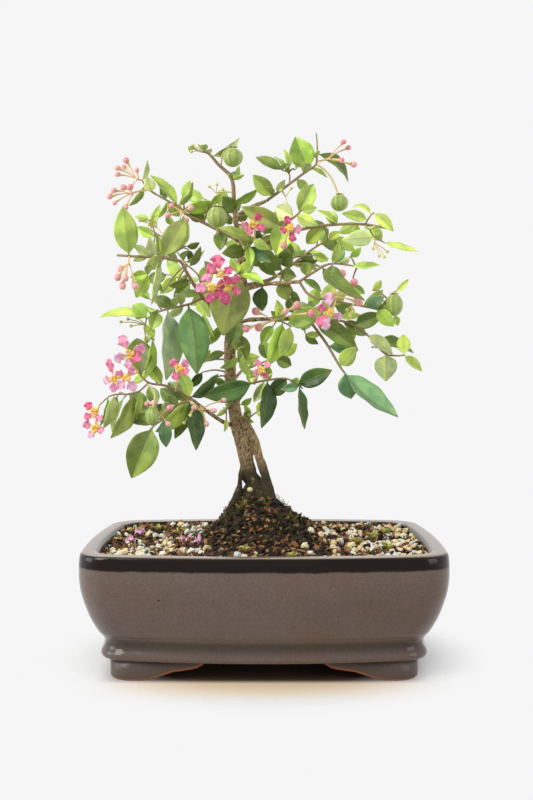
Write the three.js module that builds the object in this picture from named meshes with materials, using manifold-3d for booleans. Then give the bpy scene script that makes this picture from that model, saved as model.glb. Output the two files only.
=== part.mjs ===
// Barbados cherry bonsai in its glazed pot. Millimetres, +Z up.
// The plant is laid out as it is seen from the front: a place is written [x, z, depth], where x and z are
// read on the upright plane through the pot's centre and depth is how far behind that plane it lies.
import * as THREE from 'three';
import { mergeVertices } from 'three/addons/utils/BufferGeometryUtils.js';
import Module from 'manifold-3d';

const wasm = await Module();
wasm.setup();

// Driving sizes of the pot
const RIM_WIDTH = 178;
const RIM_DEPTH = 135;
const POT_HEIGHT = 60.4;
const FRONT_BOW = 5;
const SIDE_BOW = 2;
const CORNER_RADIUS = 16;
const WALL = 9;
const UNDERSIDE = 9.3;
const FLOOR_TOP = 16;
const FOOT_HALF_X = 73.5;
const FOOT_HALF_Y = 50.5;
const FOOT_WALL = 9;
const FOOT_CORNER_RADIUS = 11;
const FOOT_RUN_FRONT = 47;
const FOOT_RUN_SIDE = 34;
const DRAIN_RADIUS = 7;
const DRAIN_X = 38;

// Driving sizes of the soil and the plant
const GAP = 0.3;
const WELD = 0.02;
const SOIL_EDGE_Z = 54.5;
const MOUND_HEIGHT = 25;
const MOUND_X = -4;
const MOUND_Y = -4;
const MOUND_REACH = 17.5;
const PEBBLE_COUNT = 28;
const BLADE_HALF = 0.35;
const LEAF_SLIMNESS = 0.42;
const FOLD = 0.22;
const BUD_RADIUS = 1.7;

// Leaves grow from a twig between these distances from its two ends
const TWIG_START = 2.6;
const TWIG_END = 0.8;

// Where the plant's places are seen from: the front, a little right of the pot's centre
const VIEW_X = 1.1;
const VIEW_DISTANCE = 512.5;
const VIEW_HEIGHT = 138.8;

// How finely each kind of piece is faceted
const CORNER_STEPS = 4;
const SIDE_STEPS = 3;
const SOIL_STEPS = 6;
const TWIG_SIDES = 3;
const STALK_SIDES = 3;
const FRUIT_RIBS = 6;
const FLAT_LEAF_BELOW = 25;
const LARGE_LEAF_FROM = 25;
const SMALL_LEAF_FROM = 12.5;

const V = (x, y, z) => new THREE.Vector3(x, y, z);

// A place as seen from the front, slid along the line of sight to its depth
function at([x, z, depth]) {
  const s = 1 + depth / VIEW_DISTANCE;
  return V(VIEW_X + (x - VIEW_X) * s, depth, VIEW_HEIGHT + (z - VIEW_HEIGHT) * s);
}

// The same draws every time, for all that is placed by chance
function seeded(seed) {
  let s = seed;
  return () => {
    s = (s * 1664525 + 1013904223) % 4294967296;
    return s / 4294967296;
  };
}

function solidOf(geometry) {
  const bare = geometry.index ? geometry.toNonIndexed() : geometry.clone();
  bare.deleteAttribute('normal');
  bare.deleteAttribute('uv');
  const merged = mergeVertices(bare, 1e-4);
  return new wasm.Manifold(new wasm.Mesh({
    numProp: 3,
    vertProperties: new Float32Array(merged.attributes.position.array),
    triVerts: new Uint32Array(merged.index.array),
  }));
}

function geometryOf(points, faces) {
  const geometry = new THREE.BufferGeometry();
  const places = points.flatMap((p) => [p.x, p.y, p.z]);
  geometry.setAttribute('position', new THREE.Float32BufferAttribute(places, 3));
  geometry.setIndex(faces.flat());
  return geometry;
}

// A closed skin over rings of points; each ring runs anticlockwise seen from the last ring, and the first ring
// may be a single point
function loft(rings) {
  const n = rings[1].length;
  const pointed = rings[0].length === 1;
  const points = rings.flat();
  const faces = [];
  const startOf = (k) => (pointed && k > 0 ? 1 + (k - 1) * n : k * n);
  for (let k = 0; k + 1 < rings.length; k++) {
    for (let i = 0; i < n; i++) {
      const j = (i + 1) % n;
      const a = startOf(k) + (rings[k].length === 1 ? 0 : i);
      const b = startOf(k) + (rings[k].length === 1 ? 0 : j);
      const c = startOf(k + 1) + i;
      const d = startOf(k + 1) + j;
      if (a !== b) faces.push([a, b, d]);
      faces.push([a, d, c]);
    }
  }
  const top = startOf(rings.length - 1);
  for (let i = 1; i + 1 < n; i++) {
    if (!pointed) faces.push([0, i + 1, i]);
    faces.push([top, top + i, top + i + 1]);
  }
  return solidOf(geometryOf(points, faces));
}

// A round stem through its points, thick at each by its own radius; no radius at the start makes a point there
function tube(points, radii, sides) {
  const rings = [];
  let across = null;
  points.forEach((p, i) => {
    const before = points[Math.max(i - 1, 0)];
    const after = points[Math.min(i + 1, points.length - 1)];
    const along = after.clone().sub(before).normalize();
    if (!across) across = Math.abs(along.y) < 0.9 ? V(0, 1, 0) : V(1, 0, 0);
    across.addScaledVector(along, -across.dot(along)).normalize();
    const over = along.clone().cross(across);
    if (radii[i] === 0) rings.push([p.clone()]);
    else rings.push(Array.from({ length: sides }, (_, k) => {
      const turn = 2 * Math.PI * k / sides;
      return p.clone().addScaledVector(across, radii[i] * Math.cos(turn))
        .addScaledVector(over, radii[i] * Math.sin(turn));
    }));
  });
  return loft(rings);
}

// A stem from its table row; `more` thickens it and lengthens it at both ends
function stem(points, radii, sides, more) {
  const places = points.map(at);
  const last = places.length - 1;
  const start = places[0].clone().sub(places[1]).setLength(more);
  const end = places[last].clone().sub(places[last - 1]).setLength(more);
  places[0].add(start);
  places[last].add(end);
  return tube(places, radii.map((r) => r + more), sides);
}

// Radii that run evenly from one end of a path to the other
const taper = (count, from, to) =>
  Array.from({ length: count }, (_, i) => from + (to - from) * i / (count - 1));

const joined = (solids) => solids.reduce((sum, s) => sum.add(s));

// The largest body of a solid. Points that a cut left closer than WELD become one, and loose scraps are dropped
function mainBody(solid) {
  const bodies = solid.setTolerance(WELD).decompose();
  return bodies.reduce((best, b) => (b.volume() > best.volume() ? b : best));
}

const group = new THREE.Group();

function addPiece(name, solid, color, roughness) {
  const mesh = solid.getMesh();
  const geometry = new THREE.BufferGeometry();
  geometry.setAttribute('position', new THREE.BufferAttribute(new Float32Array(mesh.vertProperties), 3));
  geometry.setIndex(new THREE.BufferAttribute(new Uint32Array(mesh.triVerts), 1));
  const piece = new THREE.Mesh(geometry, new THREE.MeshStandardMaterial({ color, roughness, metalness: 0 }));
  piece.name = name;
  group.add(piece);
  return piece;
}

// The pot's outline at one level: bowed sides between round corners, seen from above
function outline(inset) {
  const halfX = RIM_WIDTH / 2 - inset;
  const halfY = RIM_DEPTH / 2 - inset;
  const r = CORNER_RADIUS - 0.3 * inset;
  const cornerX = halfX - SIDE_BOW - r;
  const cornerY = halfY - FRONT_BOW - r;
  const points = [];
  for (let side = 0; side < 4; side++) {
    const [turnX, turnY] = [[1, 1], [-1, 1], [-1, -1], [1, -1]][side];
    const upright = side % 2 === 0;
    for (let k = 0; k <= CORNER_STEPS; k++) {
      const a = Math.PI / 2 * (upright ? k : CORNER_STEPS - k) / CORNER_STEPS;
      points.push([turnX * (cornerX + r * Math.cos(a)), turnY * (cornerY + r * Math.sin(a))]);
    }
    for (let k = 1; k < SIDE_STEPS; k++) {
      const t = 1 - 2 * k / SIDE_STEPS;
      const bulge = 1 - t * t;
      if (upright) points.push([turnX * t * cornerX, turnY * (halfY - FRONT_BOW + FRONT_BOW * bulge)]);
      else points.push([turnX * (halfX - SIDE_BOW + SIDE_BOW * bulge), turnY * t * cornerY]);
    }
  }
  return points;
}
const ringAt = (z, inset) => outline(inset).map(([x, y]) => V(x, y, z));

const CAVITY_LEVELS = [[FLOOR_TOP, 18], [30, WALL + 3], [50, WALL - 0.4]];

// Pot: rim band, bellied wall, raised ledge, four bracket feet and two drain holes
function makePot() {
  const wallLevels = [[UNDERSIDE, 12.5], [11, 10], [16.8, 9], [18.4, 9.9], [23, 7.2], [30, 3.9],
    [40, 0.8], [50, -0.4], [59.4, 0], [POT_HEIGHT, 1.1]];
  const wall = loft(wallLevels.map(([z, inset]) => ringAt(z, inset)));
  const cavity = loft([...CAVITY_LEVELS, [POT_HEIGHT - 1, WALL - 0.6], [POT_HEIGHT + 1, WALL - 2]]
    .map(([z, inset]) => ringAt(z, inset)));
  const drains = [-DRAIN_X, DRAIN_X].map((x) => solidOf(
    new THREE.CylinderGeometry(DRAIN_RADIUS, DRAIN_RADIUS, 12, 12).rotateX(Math.PI / 2).translate(x, 0, 12)));
  return mainBody(joined([wall, ...makeFeet()]).subtract(cavity).subtract(joined(drains)));
}

// A bracket foot's lower edge: [share of its run, height]; flat at the corner, then a double curve up to the
// pot's underside
const FOOT_EDGE = [[0, 0], [0.35, 0], [0.55, 2.4], [0.72, 4.4], [0.88, 5.6], [1, UNDERSIDE]];

function makeFeet() {
  const feet = [];
  const sunk = UNDERSIDE + 1;
  const leg = (run) => {
    const shape = new THREE.Shape([[0, sunk], ...FOOT_EDGE.map(([share, z]) => [run * share, z]), [run, sunk]]
      .map(([x, z]) => new THREE.Vector2(x, z)));
    return new THREE.ExtrudeGeometry(shape, { depth: FOOT_WALL, bevelEnabled: false }).rotateX(Math.PI / 2);
  };
  const front = leg(FOOT_RUN_FRONT).translate(-FOOT_HALF_X, -FOOT_HALF_Y + FOOT_WALL, 0);
  const side = leg(FOOT_RUN_SIDE).rotateZ(Math.PI / 2).translate(-FOOT_HALF_X, -FOOT_HALF_Y, 0);
  const foot = solidOf(front).add(solidOf(side)).intersect(solidOf(footCorner(sunk)));
  for (const mx of [-1, 1]) {
    for (const my of [-1, 1]) {
      feet.push(mx === -1 && my === -1 ? foot : foot.scale([-mx, -my, 1]));
    }
  }
  return feet;
}

// The round upright corner that trims a foot's two legs
function footCorner(top) {
  const r = FOOT_CORNER_RADIUS;
  const halfX = FOOT_HALF_X;
  const halfY = FOOT_HALF_Y;
  const shape = new THREE.Shape();
  shape.moveTo(-halfX + r, -halfY);
  shape.lineTo(0, -halfY);
  shape.lineTo(0, 0);
  shape.lineTo(-halfX, 0);
  shape.lineTo(-halfX, -halfY + r);
  shape.absarc(-halfX + r, -halfY + r, r, Math.PI, 1.5 * Math.PI, false);
  const block = new THREE.ExtrudeGeometry(shape, { depth: top + 1, bevelEnabled: false, curveSegments: 5 });
  return block.translate(0, 0, -0.5);
}

// Wood: every row is one stem, [[x, z, depth], ...] with its radius at the start and at the end
const WOOD = {
  trunk: { sides: 8,
    radii: [8.5, 6.4, 4.6, 4.1, 3.7, 3.6, 3.8, 3.5, 3.2, 5.2, 5, 3.3, 3.2, 2.9, 2.6, 2.4, 2.3, 1.9],
    points: [[-6, 66, 0], [-7, 78, 0], [-8, 85, 1], [-8.4, 90, 1], [-9, 100, 1], [-11, 109, 0],
      [-12.6, 115, 0], [-14.5, 122, 0], [-16, 129.5, 0], [-16.3, 132, 0], [-16.8, 135.5, 0],
      [-17.6, 140, 0], [-17.8, 158, 1], [-17, 170, 2], [-14, 180, 3], [-11, 190, 3], [-12, 201, 3],
      [-15, 226, 2]] },
  second_stem: { sides: 6, radii: [4.2, 2.9, 2.3, 2.2, 2.1, 2.1, 2.2, 2.4],
    points: [[6, 66, -3], [4.6, 79, -3], [3.2, 86, -2.5], [1, 92, -2], [-1.2, 98, -1], [-4, 106, 0],
      [-7.4, 113, 0], [-12, 119.5, 0]] },
  left_root: { sides: 4, radii: [1.6, 1.3, 1.1, 1.2, 1.4],
    points: [[-20, 70, -9], [-13.4, 80, -6], [-12, 87, -3.6], [-12.1, 92, -2], [-11, 97, 0]] },
  front_root: { sides: 4, radii: [1.8, 1.7, 1.6], points: [[3, 68, -15], [-1, 77, -9], [-5, 86, -3]] },
  back_root: { sides: 4, radii: [1.8, 1.7, 1.6], points: [[-9, 69, 17], [-8, 78, 9], [-8, 87, 3]] },
  low_left: { sides: 4, radii: [1.5, 1.25, 1.15, 1.1],
    points: [[-14, 117, 0], [-22, 120, -5], [-30, 125.5, -12], [-37, 131, -18]] },
  low_left_back: { sides: 4, radii: [1.1, 0.95], points: [[-30, 125.5, -12], [-38, 128, 4]] },
  low_back: { sides: 4, radii: [1.2, 1], points: [[-17, 140, 0], [-12, 146, 16]] },
  right_low: { sides: 4, radii: [1.5, 1.4, 1.35, 1.25, 1.1],
    points: [[-16, 170, 2], [-8, 172.5, 0], [6, 173, -4], [14, 173, -6], [24, 171.5, -8]] },
  left_limb: { sides: 6, radii: [1.7, 1.6, 1.4], points: [[-17, 168, 0], [-24, 176, -5], [-32, 184, -10]] },
  left_back: { sides: 4, radii: [1.3, 1.1], points: [[-15, 177, 2], [-26, 185, 18]] },
  top_left: { sides: 4, radii: [1.5, 1.35], points: [[-13.5, 214, 2], [-20, 217, 5]] },
  top_back: { sides: 4, radii: [1.3, 1.1], points: [[-14, 221, 2], [-18, 226, 13]] },
  top_right: { sides: 4, radii: [1.5, 1.3, 1.2], points: [[-14.5, 226, 2], [-7.5, 230.3, 0], [1, 234, -2]] },
  centre_right: { sides: 4, radii: [1.4, 1.3, 1.15], points: [[-12, 202, 3], [-5, 208.5, -4],
    [4, 215, -10]] },
  right_limb: { sides: 6, radii: [1.3, 1.25], points: [[0, 211.6, -8], [10, 216.5, -14]] },
  right_back: { sides: 4, radii: [1.4, 1.25, 1.1], points: [[-11, 190, 3], [3, 193.5, 12], [13, 200, 20]] },
  right_mid: { sides: 4, radii: [1.5, 1.4, 1.25, 1.1],
    points: [[-11, 188, 3], [0, 191, -4], [8, 191.5, -8], [18, 192.3, -13]] },
  back_limb: { sides: 4, radii: [1.5, 1.3], points: [[-12, 197, 3], [-12, 205, 18]] },
};

// Leafy shoots. A twig row is [radius at start, radius at end, [x, z, depth], ...].
// A leaf row is [base x, base z, tip x, tip z, width as seen, depth gained to the tip, arch, sidewards sweep];
// it grows from the nearest place on its shoot's twigs, and arch and sweep are shares of its length.
const SPRAYS = {
  apex_shoot: {
    twigs: [[1.8, 0.5, [-15, 225, 2], [-15.7, 234, 2], [-17, 245.5, 1], [-24, 253, 0], [-29, 258.5, -1],
      [-34.5, 260, -2], [-38, 262.5, -3]]],
    leaves: [[-26.5, 257, -13, 266.5, 3.5, -3, 0.12, -0.06], [-17, 246, -10.5, 247.5, 2.2, 3],
      [-15, 233, -3.5, 240, 4, -6], [-15.5, 228, -21.5, 236.5, 8, -6], [-17, 244, -13, 252, 2.5, 8]] },
  top_right_shoot: {
    twigs: [[1.15, 0.45, [1, 234, -2], [10, 240.5, -5], [20, 248, -8], [26, 252, -10], [27.2, 256, -10.5],
      [27.3, 263, -11], [26.8, 269, -11]], [0.6, 0.45, [13, 243, -6], [12.8, 248, -4], [9, 250, -3]]],
    leaves: [[21.5, 250, 16, 267, 12.5, -2, 0.06], [8.5, 250, -4.3, 256.5, 5, 3],
      [4.8, 237, -6, 247.5, 8, -4, 0.1], [6, 238, 10.5, 245, 4, -5], [24, 250, 32.5, 246, 1.6, 6],
      [27.2, 259, 43.3, 244, 4, 7, 0.12], [12.8, 247, 5, 257, 1.6, 4], [16, 245, 22, 240, 5, 10]] },
  centre_right_shoot: {
    twigs: [[1.1, 0.6, [4, 215, -10], [11, 222, -14], [16.5, 226.5, -16], [20, 230, -17]]],
    leaves: [[8, 221, -12, 231, 9.5, -6, 0.06], [17, 227.5, 25.3, 242.7, 9, 3, 0.08],
      [15, 226, 6.3, 231, 8, 6], [19, 229.5, 27, 230.5, 5, -4], [17, 226, 28, 221, 6, -5],
      [11, 220, 6, 206, 11, -7, 0.08], [3.5, 215, -4, 227, 9, 5, 0.08]] },
  right_limb_shoot: {
    twigs: [[1.2, 0.85, [10, 216.5, -14], [20, 219.5, -18], [34, 221.6, -22], [50, 222, -25],
      [64.5, 219.8, -27]], [0.6, 0.45, [52, 221.8, -25], [55, 226.5, -26], [57, 228, -26]],
      [0.6, 0.45, [53, 221.6, -25], [57, 215.5, -24], [62.5, 212.3, -23]]],
    leaves: [[38, 222, 27, 229, 2, -4], [37, 222, 32.5, 228.5, 5.5, 4], [53, 224.5, 40, 227.5, 5, -4],
      [55.5, 227, 45.5, 231, 2, 3, 0.15], [57, 228, 66.8, 218.3, 5.5, -3, 0.08],
      [62.5, 212.3, 79.3, 208, 2.2, -3, 0, 0.14], [56.5, 215, 40.5, 214, 8, -5, 0.06],
      [47.5, 221.5, 47, 215.5, 4, 5], [61, 213, 55, 220.5, 6, 6], [30, 221, 22, 212, 7, 12]] },
  right_back_shoot: {
    twigs: [[1.05, 0.6, [13, 200, 20], [24, 208.5, 28], [38, 217, 34]], [0.6, 0.45, [27, 210.5, 29],
      [28.3, 217, 29]]],
    leaves: [[28.5, 212.5, 33, 220, 4, 4], [15, 202, 28, 203.5, 3.7, -4], [23, 207, 33.5, 204, 2, 4],
      [13.5, 200.5, 28, 198, 3.5, -8], [20, 205.5, 11, 212, 7, 8], [30, 212, 44, 211, 7, 10],
      [36, 216, 47, 208, 6, 6], [24, 208.5, 20, 197, 7, 6], [38, 217, 48, 222.5, 6, 8],
      [33, 214, 26, 224, 7, 9]] },
  right_mid_shoot: {
    twigs: [[1.05, 0.5, [18, 192.3, -13], [26, 197.5, -18], [34, 201.5, -22], [44, 200.8, -21],
      [48, 200, -20]]],
    leaves: [[35, 201.4, 52, 182.5, 7, -5, 0.05, 0.3], [38, 201, 44, 204, 4, 6], [36, 201.5, 41, 210, 5, 3],
      [35, 201.5, 38.5, 213, 4, -4], [20, 193.5, 29.5, 187, 3.2, -4],
      [45, 200.6, 59.5, 201, 2.8, -4, 0, 0.12], [22, 195, 21.5, 202, 6, 5]] },
  right_mid_out_shoot: {
    twigs: [[1, 0.6, [18, 192.3, -13], [24, 185, -18], [38, 182, -22], [54, 179, -24], [60, 177.5, -24]],
      [0.6, 0.5, [59, 177.8, -24], [66, 186, -23], [68.5, 187.5, -23]]],
    leaves: [[53, 179.2, 62, 184.5, 6, -4], [50, 179.8, 61.5, 188, 5, 8], [54, 179, 68, 176, 3, 5],
      [58, 178, 67, 169.2, 7, -3], [68.5, 187.3, 74.5, 193.5, 3, 2], [30, 183.6, 37, 191, 5, 11]] },
  right_inner_shoot: {
    twigs: [[0.8, 0.5, [8, 191.5, -8], [9, 196, -3], [8, 201, 1], [6, 205.5, 3]]],
    leaves: [[8.5, 192.5, 12, 182.5, 8, -5], [8.5, 198, 0, 206, 8, 4], [8, 201, 15, 207, 8, -4],
      [9, 196.5, 16.5, 195, 7, -5], [6, 205.5, -3, 207.5, 6, 8], [7, 204, 10, 212, 6, 8]] },
  right_low_shoot: {
    twigs: [[1.1, 0.7, [24, 171.5, -8], [32, 160.5, -10], [38.5, 149.5, -12], [42, 144.5, -12]]],
    leaves: [[28.5, 165, 21.5, 165, 3.5, 4], [33, 159, 48, 156, 6, 5],
      [41.5, 145.5, 45, 131.7, 10, 3, 0.05], [42, 145, 69.2, 122.2, 8, -6, 0.04, 0.13],
      [39, 149, 47.5, 158.5, 8, -4]] },
  right_low_out_shoot: {
    twigs: [[1, 0.55, [24, 171.5, -8], [40, 172, -6], [52, 166, -4], [62, 155.5, -4], [68, 154, -5],
      [73, 154.3, -6]]],
    leaves: [[27, 171, 48.5, 156.5, 9, -7, 0.06], [40, 172, 53, 164.5, 6, 8],
      [46, 169.5, 61.5, 175.5, 8, -5, 0.06], [53, 165, 66.5, 154.5, 6, -5, 0.05],
      [57, 161, 77.3, 155.5, 5, 6, 0.05, -0.08], [73, 154.3, 72, 165, 7, 4],
      [73, 154.3, 81.7, 146, 4.5, -2], [62.5, 155.3, 63, 140.8, 11.5, -3, 0.06], [36, 172, 30, 182, 6, 12],
      [48, 168, 41, 160, 6, 13]] },
  heart_leaf_shoot: {
    twigs: [[1, 0.6, [-11, 197, 2], [-13.5, 196.5, -8], [-15.5, 195.5, -14]]],
    leaves: [[-15, 195.5, -21.5, 164.5, 20, -5, 0.1], [-13, 196.5, 0, 191, 3.8, -8],
      [-13, 196.6, -17.5, 204.5, 5, 4], [-13, 196.6, -5, 203, 6, -3]] },
  centre_shoot: {
    twigs: [[0.9, 0.5, [-12.5, 207, 2.5], [-8, 210.5, -7], [-6, 214, -12]]],
    leaves: [[-6.5, 213, -24, 220, 5, -5, 0.1, -0.1], [-8, 210.5, -7, 200, 5, -5],
      [-9, 209.8, 1, 199, 6, 5], [-10, 209, -22, 207, 7.5, -6], [-6, 214, 3, 209, 5, -3]] },
  trunk_mid_shoot: {
    twigs: [[0.9, 0.5, [-16.5, 175, 2], [-12.8, 173, -5], [-12, 164, -6.5], [-12.5, 156, -6.5],
      [-13.5, 150.5, -6]]],
    leaves: [[-13, 173.5, -17.5, 158.3, 8.5, -4, 0.06], [-12, 165, -9.3, 151.5, 5, -2],
      [-13.3, 152, -2.5, 153.5, 5.5, -3], [-13.5, 150.5, -7, 142.5, 4, -2],
      [-13, 153, -23, 147.5, 3.5, -4]] },
  trunk_sprout: {
    twigs: [[0.75, 0.45, [-11, 118.5, 0], [-7, 122.5, -5.5], [-3, 125.5, -7.5]]],
    leaves: [[-3, 125.5, 3.5, 126.5, 3, -1], [-4, 125, -1, 131, 3, 1], [-7, 122.5, -10.5, 128.5, 3, -2],
      [-4.5, 124.5, 2.5, 120.5, 2.5, -2]] },
  left_sprout: {
    twigs: [[0.75, 0.5, [-17.5, 126, 0], [-19.5, 126.5, -5], [-19.8, 121, -6.5]]],
    leaves: [[-19.6, 125.5, -25, 122.5, 2.6, -2], [-19.8, 121, -20.7, 114.5, 2, -1]] },
  left_limb_shoot: {
    twigs: [[1.35, 0.9, [-32, 184, -10], [-37, 191.5, -14], [-41, 198.5, -17], [-44, 203, -19],
      [-53, 204.7, -22], [-66, 205.3, -25], [-76.3, 206, -27]], [0.65, 0.5, [-33, 185.5, -11],
      [-34, 195, -8], [-40.5, 201.5, -7], [-45.5, 208, -6]], [0.55, 0.45, [-55, 204.8, -22.5],
      [-59, 198, -26], [-60.5, 196, -26.5]], [0.6, 0.45, [-60, 205, -24], [-57.5, 211, -20],
      [-56.5, 216, -18]]],
    leaves: [[-39, 200, -33, 210.5, 3.5, 3], [-41, 202, -31, 208.5, 2, 6], [-38, 193.5, -49.5, 190, 4, -3],
      [-33, 186, -44, 185.5, 4, 6], [-53, 204.7, -41, 225, 11, 4, 0.06], [-58.5, 205, -59.5, 215.5, 5, -5],
      [-60, 205, -68, 211.5, 4, -3], [-70.5, 205.6, -73.3, 231, 11.5, -3, 0.07],
      [-52.5, 204.5, -62, 198.5, 6, -6], [-54, 204.7, -58.5, 180.5, 2, 2, 0, 0.1],
      [-60, 196.3, -69.5, 194.5, 5, -2], [-60, 196.6, -66.5, 184, 7, 4],
      [-56.5, 216, -66.5, 220.5, 5, 2]] },
  left_low_shoot: {
    twigs: [[1, 0.6, [-32, 184, -10], [-38, 181, -14], [-44, 179.5, -17], [-54, 177, -20],
      [-61.5, 173, -23]], [0.5, 0.45, [-61, 173.3, -23], [-62, 168, -22.5], [-61, 160, -22]]],
    leaves: [[-61.5, 173, -68, 180.5, 8, 3], [-61.5, 173, -85.5, 174, 3.2, -3, 0, 0.12],
      [-62, 170, -56.5, 166, 2.5, -2], [-55, 176.7, -58.5, 167.5, 7, -3], [-46, 179.2, -57, 184.5, 6, 5],
      [-42, 180, -50, 174, 4, 6], [-39.5, 180.8, -35, 144.5, 15, -4, 0.06],
      [-50, 178, -51, 141.5, 10, -2, 0.05], [-35, 182.5, -28, 174, 6, -5]] },
  left_back_shoot: {
    twigs: [[1.05, 0.6, [-26, 185, 18], [-38, 192, 32], [-50, 196, 44]]],
    leaves: [[-32, 188.5, -29, 201, 8, 6], [-38, 192, -47, 183, 7, 6], [-42, 193.5, -50, 203, 7, 5],
      [-50, 196, -61, 193, 7, 5], [-46, 194.8, -54, 186, 7, -3], [-34, 189.6, -26, 181, 7, 4],
      [-29, 187, -38, 180, 7, -6], [-49, 195.7, -47, 208, 6, 8]] },
  top_left_shoot: {
    twigs: [[1.25, 0.55, [-20, 217, 5], [-30, 222, 8], [-40, 227, 10], [-44, 231, 11], [-50, 234, 12],
      [-60, 240, 13], [-63.5, 245, 13]]],
    leaves: [[-63, 244.5, -60.5, 255, 2.2, 3], [-58, 239, -61, 246.5, 6, -3],
      [-54, 236.5, -54, 244.5, 1.8, 3], [-45, 231.5, -59, 247.2, 4, 5], [-61.5, 242, -70, 231.5, 2.6, -5],
      [-50.5, 234.3, -56, 225, 2, -4], [-41, 228, -47, 207, 5.5, -6, 0, -0.08],
      [-44.5, 231.2, -37, 243.8, 4, 5], [-42, 229, -25, 233.8, 6.5, -6], [-40, 227, -30, 225, 6, 5],
      [-29, 221.5, -18, 231.5, 8, 6], [-22, 218, -23, 208.5, 7.5, -4], [-50, 234, -44, 226, 6, 9]] },
  top_back_shoot: {
    twigs: [[1.05, 0.6, [-18, 226, 13], [-24, 231, 24], [-31, 235, 34]]],
    leaves: [[-20, 227.7, -29, 224, 7, 6], [-24, 231, -20, 239.5, 6, 5], [-27, 232.7, -36, 229, 7, 5],
      [-31, 235, -41, 238, 7, 5], [-21, 228.5, -12, 233, 7, 6], [-29, 233.9, -26, 222, 7, 8]] },
  back_limb_shoot: {
    twigs: [[1.2, 0.6, [-12, 205, 18], [-6, 213, 34], [4, 219, 48]]],
    leaves: [[-10, 207.7, -20, 212, 8, 5], [-8, 210.3, -3, 200, 8, 6], [-6, 213, -15, 221, 8, 6],
      [-2, 215.4, 8, 210, 8, 5], [0, 216.6, -4, 227, 7, 6], [4, 219, 14, 222, 7, 5],
      [3, 218.4, 8, 229, 7, 6], [-11.5, 205.7, -1, 208, 7, 4]] },
  low_back_shoot: {
    twigs: [[0.95, 0.6, [-12, 146, 16], [-2, 150, 30], [8, 154, 42]]],
    leaves: [[-6, 148.4, -14, 156, 7, 5], [-2, 150, 3, 141.5, 7, 5], [2, 151.6, -1, 162, 7, 6],
      [8, 154, 17, 160, 7, 4], [6, 153.2, 14, 149, 7, 5], [-8, 147.6, -5, 139, 6, 5]] },
  low_front_shoot: {
    twigs: [[1, 0.55, [-16, 138, 0], [-8, 139.5, -10], [1.5, 141.3, -14], [12, 142, -16], [20, 136.8, -17]]],
    leaves: [[-6, 139.7, -32, 133, 10, -4, 0.05], [16.5, 139, 35, 146.5, 9, -5, 0.05],
      [12, 142, 3, 133.5, 8, 4], [2, 141.3, -1.5, 116.5, 7.5, -3, 0.05], [18, 138, 8.5, 136.5, 4.5, -4],
      [18, 138.3, 20.8, 116, 3.6, 2, 0, 0.08], [0, 141, -5.5, 130, 5, 5]] },
  low_left_shoot: {
    twigs: [[1.1, 0.6, [-37, 131, -18], [-46, 128, -24], [-53, 121, -28], [-58, 117, -30],
      [-63, 109.5, -31]]],
    leaves: [[-38, 130.7, -56.5, 114.5, 7, -5, 0.05], [-52, 122, -51, 106.5, 6.5, 4],
      [-58, 117, -69, 90.5, 15, -3, 0.06], [-38, 130.6, -35.5, 105, 7.5, -2, 0.04],
      [-40, 130, -46.5, 111, 6, 5], [-37.5, 130.8, -25, 119.5, 5, -4], [-37.5, 130.8, -50, 140, 8, 5],
      [-56, 118.5, -72, 122, 6, 4]] },
  low_left_up_shoot: {
    twigs: [[0.95, 0.6, [-37, 131, -18], [-50, 138, -22], [-60, 140, -25], [-66, 146, -27]],
      [0.65, 0.45, [-60, 140, -25], [-67, 134.5, -28], [-79, 133.5, -32], [-86, 128, -34]]],
    leaves: [[-38, 131.5, -44.5, 147, 6, -3], [-38, 131.6, -24, 144.5, 5, 7], [-53, 138.6, -62, 151, 6, 4],
      [-62, 142, -58, 162.3, 4, 4], [-64, 144, -66, 163, 13, 9, 0.05],
      [-67, 134.5, -79.8, 111.3, 7, -3, 0.05], [-65.5, 136, -68.5, 120.5, 2.5, 4],
      [-81, 132, -85.5, 117.5, 2.2, 3], [-78, 133.6, -83.5, 116.5, 5, -3]] },
  low_left_back_shoot: {
    twigs: [[0.9, 0.6, [-38, 128, 4], [-48, 129, 14], [-60, 128, 20]]],
    leaves: [[-44, 128.6, -54, 137, 8, 5], [-50, 128.8, -60, 121, 8, 4], [-57, 128.3, -70, 124, 8, 3],
      [-60, 128, -70, 134.5, 8, 5], [-42, 128.5, -51, 120, 7, 6], [-55, 128.4, -60, 138, 7, 6]] },
  centre_low_shoot: {
    twigs: [[0.8, 0.5, [8, 173, -4.5], [9.5, 171.5, -10], [14, 169, -13]]],
    leaves: [[9.5, 171.5, 1.3, 148.5, 8.5, -4, 0.05], [14, 169, 8, 153, 7, 3],
      [9.5, 171.7, 6.5, 183, 5, -3], [12, 170.2, 31, 178, 10, -6, 0.06], [10, 171.3, 2.5, 176, 4, 5]] },
  right_low_back_shoot: {
    twigs: [[0.95, 0.6, [14, 173, -6], [19, 176, 8], [27, 179, 22], [36, 180, 32]]],
    leaves: [[18, 175.4, 12, 184, 7, 6], [23, 177.5, 20, 167, 8, 6], [27, 179, 37, 172, 8, 5],
      [33, 179.7, 42, 187, 7, 5], [36, 180, 47, 177, 7, 4], [25, 178.2, 27, 189, 7, 6]] },
};

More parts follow.
